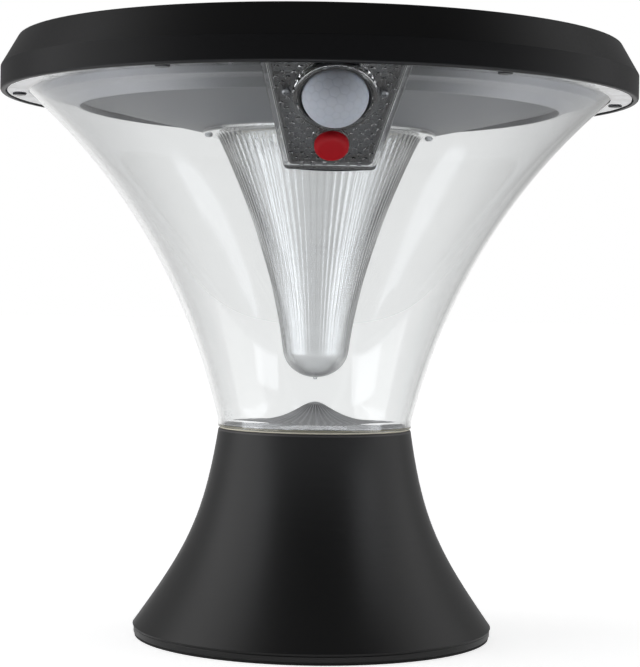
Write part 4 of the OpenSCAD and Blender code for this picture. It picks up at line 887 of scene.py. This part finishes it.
def make_lens():
    bpy.ops.object.select_all(action="DESELECT")
    bpy.ops.mesh.primitive_ico_sphere_add(subdivisions=3, radius=LENS_RADIUS * MM)
    lens = bpy.context.object
    first = len(lens.data.vertices)
    apply_modifier(lens, "SUBSURF", subdivision_type="SIMPLE", levels=1, render_levels=1)
    bpy.ops.object.mode_set(mode="EDIT")
    bpy.ops.mesh.select_all(action="DESELECT")
    bpy.ops.object.mode_set(mode="OBJECT")
    for corner in lens.data.vertices:
        corner.select = corner.index < first
    bpy.ops.object.mode_set(mode="EDIT")
    bpy.ops.mesh.select_mode(type="VERT")
    bpy.ops.mesh.dissolve_verts()
    bpy.ops.object.mode_set(mode="OBJECT")
    grooves = len(lens.data.vertices)
    bpy.ops.object.mode_set(mode="EDIT")
    bpy.ops.mesh.select_all(action="SELECT")
    bpy.ops.mesh.inset(thickness=0.35 * MM, use_individual=True)
    bpy.ops.mesh.poke()
    bpy.ops.object.mode_set(mode="OBJECT")
    for corner in lens.data.vertices:
        depth = GROOVE_LEVEL if corner.index < grooves else 1.0
        corner.co = corner.co.normalized() * LENS_RADIUS * depth * MM
    apply_modifier(lens, "SUBSURF", levels=2, render_levels=2)
    bpy.ops.object.mode_set(mode="EDIT")
    bpy.ops.mesh.select_all(action="SELECT")
    bpy.ops.mesh.bisect(plane_co=(0, 0, -3 * MM), plane_no=(0, 0, 1), clear_inner=True)
    close_mesh(lens, "lens_dome")
    apply_modifier(lens, "SOLIDIFY", thickness=0.8 * MM, offset=-1)
    for corner in lens.data.vertices:
        corner.co.y -= DOME_DROP * MM
        corner.co.z += 1 * MM
    onto_window(lens)
    smooth_piece(lens, 60)
    made = grained("lens_milk", "b5b4bb", 0.6, unevenness=0.05, patch=200, grain=800, depth=0.1,
                   Subsurface_Weight=0.15, Specular_IOR_Level=0.2)
    tree = made.node_tree
    shader = tree.nodes["Principled BSDF"]
    surface = shader.inputs["Base Color"].links[0].from_node
    # Painted shade: the lens is darker in the grooves between its cells.
    place = tree.nodes.new("ShaderNodeTexCoord")
    arm = tree.nodes.new("ShaderNodeVectorMath")
    arm.operation = "DISTANCE"
    wire(tree, place.outputs["Object"], arm.inputs[0])
    tilt = radians(WINDOW_TILT)
    arm.inputs[1].default_value = (0, (WINDOW_TOP[1] + DOME_DROP * sin(tilt) - cos(tilt)) * MM,
                                   (WINDOW_TOP[2] - DOME_DROP * cos(tilt) - sin(tilt)) * MM)
    groove_shade = tree.nodes.new("ShaderNodeMapRange")
    wire(tree, arm.outputs["Value"], groove_shade.inputs["Value"])
    groove_shade.inputs["From Min"].default_value = (LENS_RADIUS - 0.26) * MM
    groove_shade.inputs["From Max"].default_value = (LENS_RADIUS - 0.02) * MM
    shaded = tree.nodes.new("ShaderNodeMix")
    shaded.data_type = "RGBA"
    wire(tree, groove_shade.outputs["Result"], shaded.inputs["Factor"])
    shaded.inputs["A"].default_value = paint("a5a4ab")
    wire(tree, surface.outputs["Colour"], shaded.inputs["B"])
    wire(tree, shaded.outputs["Result"], shader.inputs["Base Color"])
    fit(lens, made, "light", "lens_milk", "pir_lens")


make_lens()


# Studio: a pale floor and backdrop, a dim room in front, a tall soft box on each side, and pale cards that
# show in the shade, the cone and the window. The far ones light the underside softly too.

BACKDROP_SHARE = 0.21
FRONT_DISTANCE = 1.14
CARD_HEIGHT = 10
FLOOR_SIZE = 40


def make_floor():
    bpy.ops.object.select_all(action="DESELECT")
    bpy.ops.mesh.primitive_plane_add(size=FLOOR_SIZE)
    floor = bpy.context.object
    floor.name = "floor"
    made = bpy.data.materials.new("floor_white")
    made.use_nodes = True
    tree = made.node_tree
    shader = tree.nodes["Principled BSDF"]
    shader.inputs["Roughness"].default_value = 0.9
    shader.inputs["Specular IOR Level"].default_value = 0.0
    shader.inputs["Base Color"].default_value = (0.8, 0.8, 0.8, 1)
    shader.inputs["Emission Color"].default_value = (1, 1, 1, 1)
    x, y, _ = split(tree)
    reach = calculate(tree, "MAXIMUM", calculate(tree, "ADD", y, FRONT_DISTANCE), 0.05)
    aside = calculate(tree, "DIVIDE", calculate(tree, "ABSOLUTE", x), reach)
    strip = ramp(tree, aside, BACKDROP_SHARE, BACKDROP_SHARE * 1.6, 1.0, 0.3)
    path = tree.nodes.new("ShaderNodeLightPath")
    spread = from_axis(tree, x, y)
    close = ramp(tree, spread, 0.3, 0.5, 0.5, 0.1)
    beside_it = ramp(tree, calculate(tree, "ABSOLUTE", x), 0.06, 0.25)
    behind = ramp(tree, y, 0.0, 1.2, 0.3, 0.82)
    glow = calculate(tree, "MAXIMUM", calculate(tree, "MULTIPLY", close, beside_it),
                     calculate(tree, "MULTIPLY", strip, behind))
    mirrored = calculate(tree, "MAXIMUM", path.outputs["Is Transmission Ray"], path.outputs["Is Glossy Ray"])
    seen = calculate(tree, "MULTIPLY", path.outputs["Is Camera Ray"], ramp(tree, spread, 0.4, 2.5, 0.7, 1.0))
    wire(tree, calculate(tree, "MAXIMUM", seen, calculate(tree, "MULTIPLY", mirrored, glow)),
         shader.inputs["Emission Strength"])
    floor.data.materials.append(made)


def make_surround():
    """White for the camera. For the rest a white backdrop, a pale room behind and a dim one in front."""
    world = bpy.data.worlds.new("surround")
    bpy.context.scene.world = world
    world.use_nodes = True
    tree = world.node_tree
    _, y, z = split(tree, "Generated")
    room = ramp(tree, y, -0.15, 0.4, 0.1, 0.32)
    ceiling = ramp(tree, z, 0.88, 0.98, 0.0, 0.5)
    backdrop = ramp(tree, y, 0.948, 0.98, 0.0, 1.0)
    path = tree.nodes.new("ShaderNodeLightPath")
    pale = calculate(tree, "MULTIPLY", path.outputs["Is Transmission Ray"], 0.45)
    level = calculate(tree, "MAXIMUM", calculate(tree, "ADD", room, ceiling),
                      calculate(tree, "MAXIMUM", backdrop, pale))
    wire(tree, calculate(tree, "MAXIMUM", level, path.outputs["Is Camera Ray"]),
         tree.nodes["Background"].inputs["Strength"])
    tree.nodes["Background"].inputs["Color"].default_value = (1, 1, 1, 1)


def soft_box(name, place, aim, width, height, radiance):
    """A rectangular lamp of a plain radiance, where 1 is white."""
    lamp = bpy.data.lights.new(name, "AREA")
    lamp.shape = "RECTANGLE"
    lamp.size = width
    lamp.size_y = height
    lamp.energy = radiance * pi * width * height
    held = bpy.data.objects.new(name, lamp)
    bpy.context.collection.objects.link(held)
    held.location = place
    held.rotation_euler = (Vector(aim) - Vector(place)).to_track_quat("-Z", "Y").to_euler()
    held.visible_camera = False


def card(name, rows, radiance, edge=0.0, seen_through=True, soft=False):
    """A pale card, given as rows of two corners, lit as if by a lamp. It shows in reflections, through clear
    pieces if seen_through, and as soft light if soft. It fades out over a share of its sides and first end."""
    bpy.ops.object.select_all(action="DESELECT")
    bpy.ops.mesh.primitive_grid_add(x_subdivisions=1, y_subdivisions=len(rows) - 1)
    sheet = bpy.context.object
    sheet.name = name
    corners = [place for row in reversed(rows) for place in row]
    for vertex, place in zip(sheet.data.vertices, corners):
        vertex.co = [v * MM for v in place]
    made = bpy.data.materials.new(name)
    made.use_nodes = True
    tree = made.node_tree
    tree.nodes.remove(tree.nodes["Principled BSDF"])
    glow = tree.nodes.new("ShaderNodeEmission")
    glow.inputs["Color"].default_value = (0.95, 0.97, 1.0, 1)
    glow.inputs["Strength"].default_value = radiance
    clear_edge = tree.nodes.new("ShaderNodeBsdfTransparent")
    blend = tree.nodes.new("ShaderNodeMixShader")
    blend.inputs[0].default_value = 1.0
    if edge:
        x, y, _ = split(tree, "UV")
        sides = calculate(tree, "MULTIPLY", ramp(tree, x, 0.0, edge), ramp(tree, x, 1.0, 1.0 - edge))
        wire(tree, calculate(tree, "MULTIPLY", sides, ramp(tree, y, 1.0, 1.0 - edge / 3)), blend.inputs[0])
    wire(tree, clear_edge.outputs[0], blend.inputs[1])
    wire(tree, glow.outputs[0], blend.inputs[2])
    wire(tree, blend.outputs[0], tree.nodes["Material Output"].inputs["Surface"])
    sheet.data.materials.append(made)
    sheet.visible_camera = False
    sheet.visible_transmission = seen_through
    sheet.visible_diffuse = soft
    sheet.visible_shadow = False


def on_floor(*rows):
    return [[(x, y, CARD_HEIGHT) for x, y in row] for row in rows]


make_floor()
make_surround()
soft_box("left_box", (-1.05, -0.10, 0.74), (0, 0, 0.5), 1.1, 1.2, 1.5)
soft_box("right_box", (1.10, 0.00, 0.74), (0, 0, 0.5), 1.0, 1.2, 0.95)
card("left_streak", on_floor([(-342, 37), (-275, -60)], [(-320, -25), (-245, -108)],
                             [(-268, -112), (-222, -148)], [(-242, -142), (-214, -167)]), 2.0, edge=0.3)
card("right_streak", on_floor([(256, -92), (330, -14)], [(228, -136), (314, -56)],
                              [(220, -160), (272, -119)], [(200, -184), (211, -177)]), 1.9, edge=0.3)
card("left_patch", [[(-108, -83, 119), (-76, -113, 109)], [(-109, -77, 104), (-78, -109, 96)]], 2.4)
card("right_patch", [[(62, -122, 109), (104, -87, 121)], [(70, -113, 89), (105, -80, 101)]], 2.2)
card("left_far", on_floor([(-1590, 139), (-1130, -1130)], [(-418, 37), (-297, -297)]), 4.0, soft=True)
card("right_far", on_floor([(1000, -1200), (1500, -300)], [(250, -330), (400, -60)]), 4.0, soft=True)
card("front_far", on_floor([(-500, -720), (500, -720)], [(-500, -360), (500, -360)]), 6.0, seen_through=False)


# Camera: level with the shade, in front of the sensor and a little to its left, at a long focal length.

CAMERA_DISTANCE = 1.1381
CAMERA_HEIGHT = 0.19335
CAMERA_TURN = 2.8
CAMERA_PITCH = 0.892
CAMERA_ROLL = 0.904
AIM_RIGHT = 0.119
FOCAL_LENGTH, FILM_WIDTH = 105.07, 36

lens_data = bpy.data.cameras.new("camera")
lens_data.lens = FOCAL_LENGTH
lens_data.sensor_width = FILM_WIDTH
camera = bpy.data.objects.new("camera", lens_data)
bpy.context.collection.objects.link(camera)
camera.matrix_world = (
    Matrix.Translation((-CAMERA_DISTANCE * sin(radians(CAMERA_TURN)), -CAMERA_DISTANCE * cos(radians(CAMERA_TURN)),
                        CAMERA_HEIGHT))
    @ Matrix.Rotation(radians(-CAMERA_TURN - AIM_RIGHT), 4, "Z")
    @ Matrix.Rotation(radians(90 - CAMERA_PITCH), 4, "X")
    @ Matrix.Rotation(radians(CAMERA_ROLL), 4, "Z"))
bpy.context.scene.camera = camera
bpy.context.scene.view_settings.view_transform = "Standard"
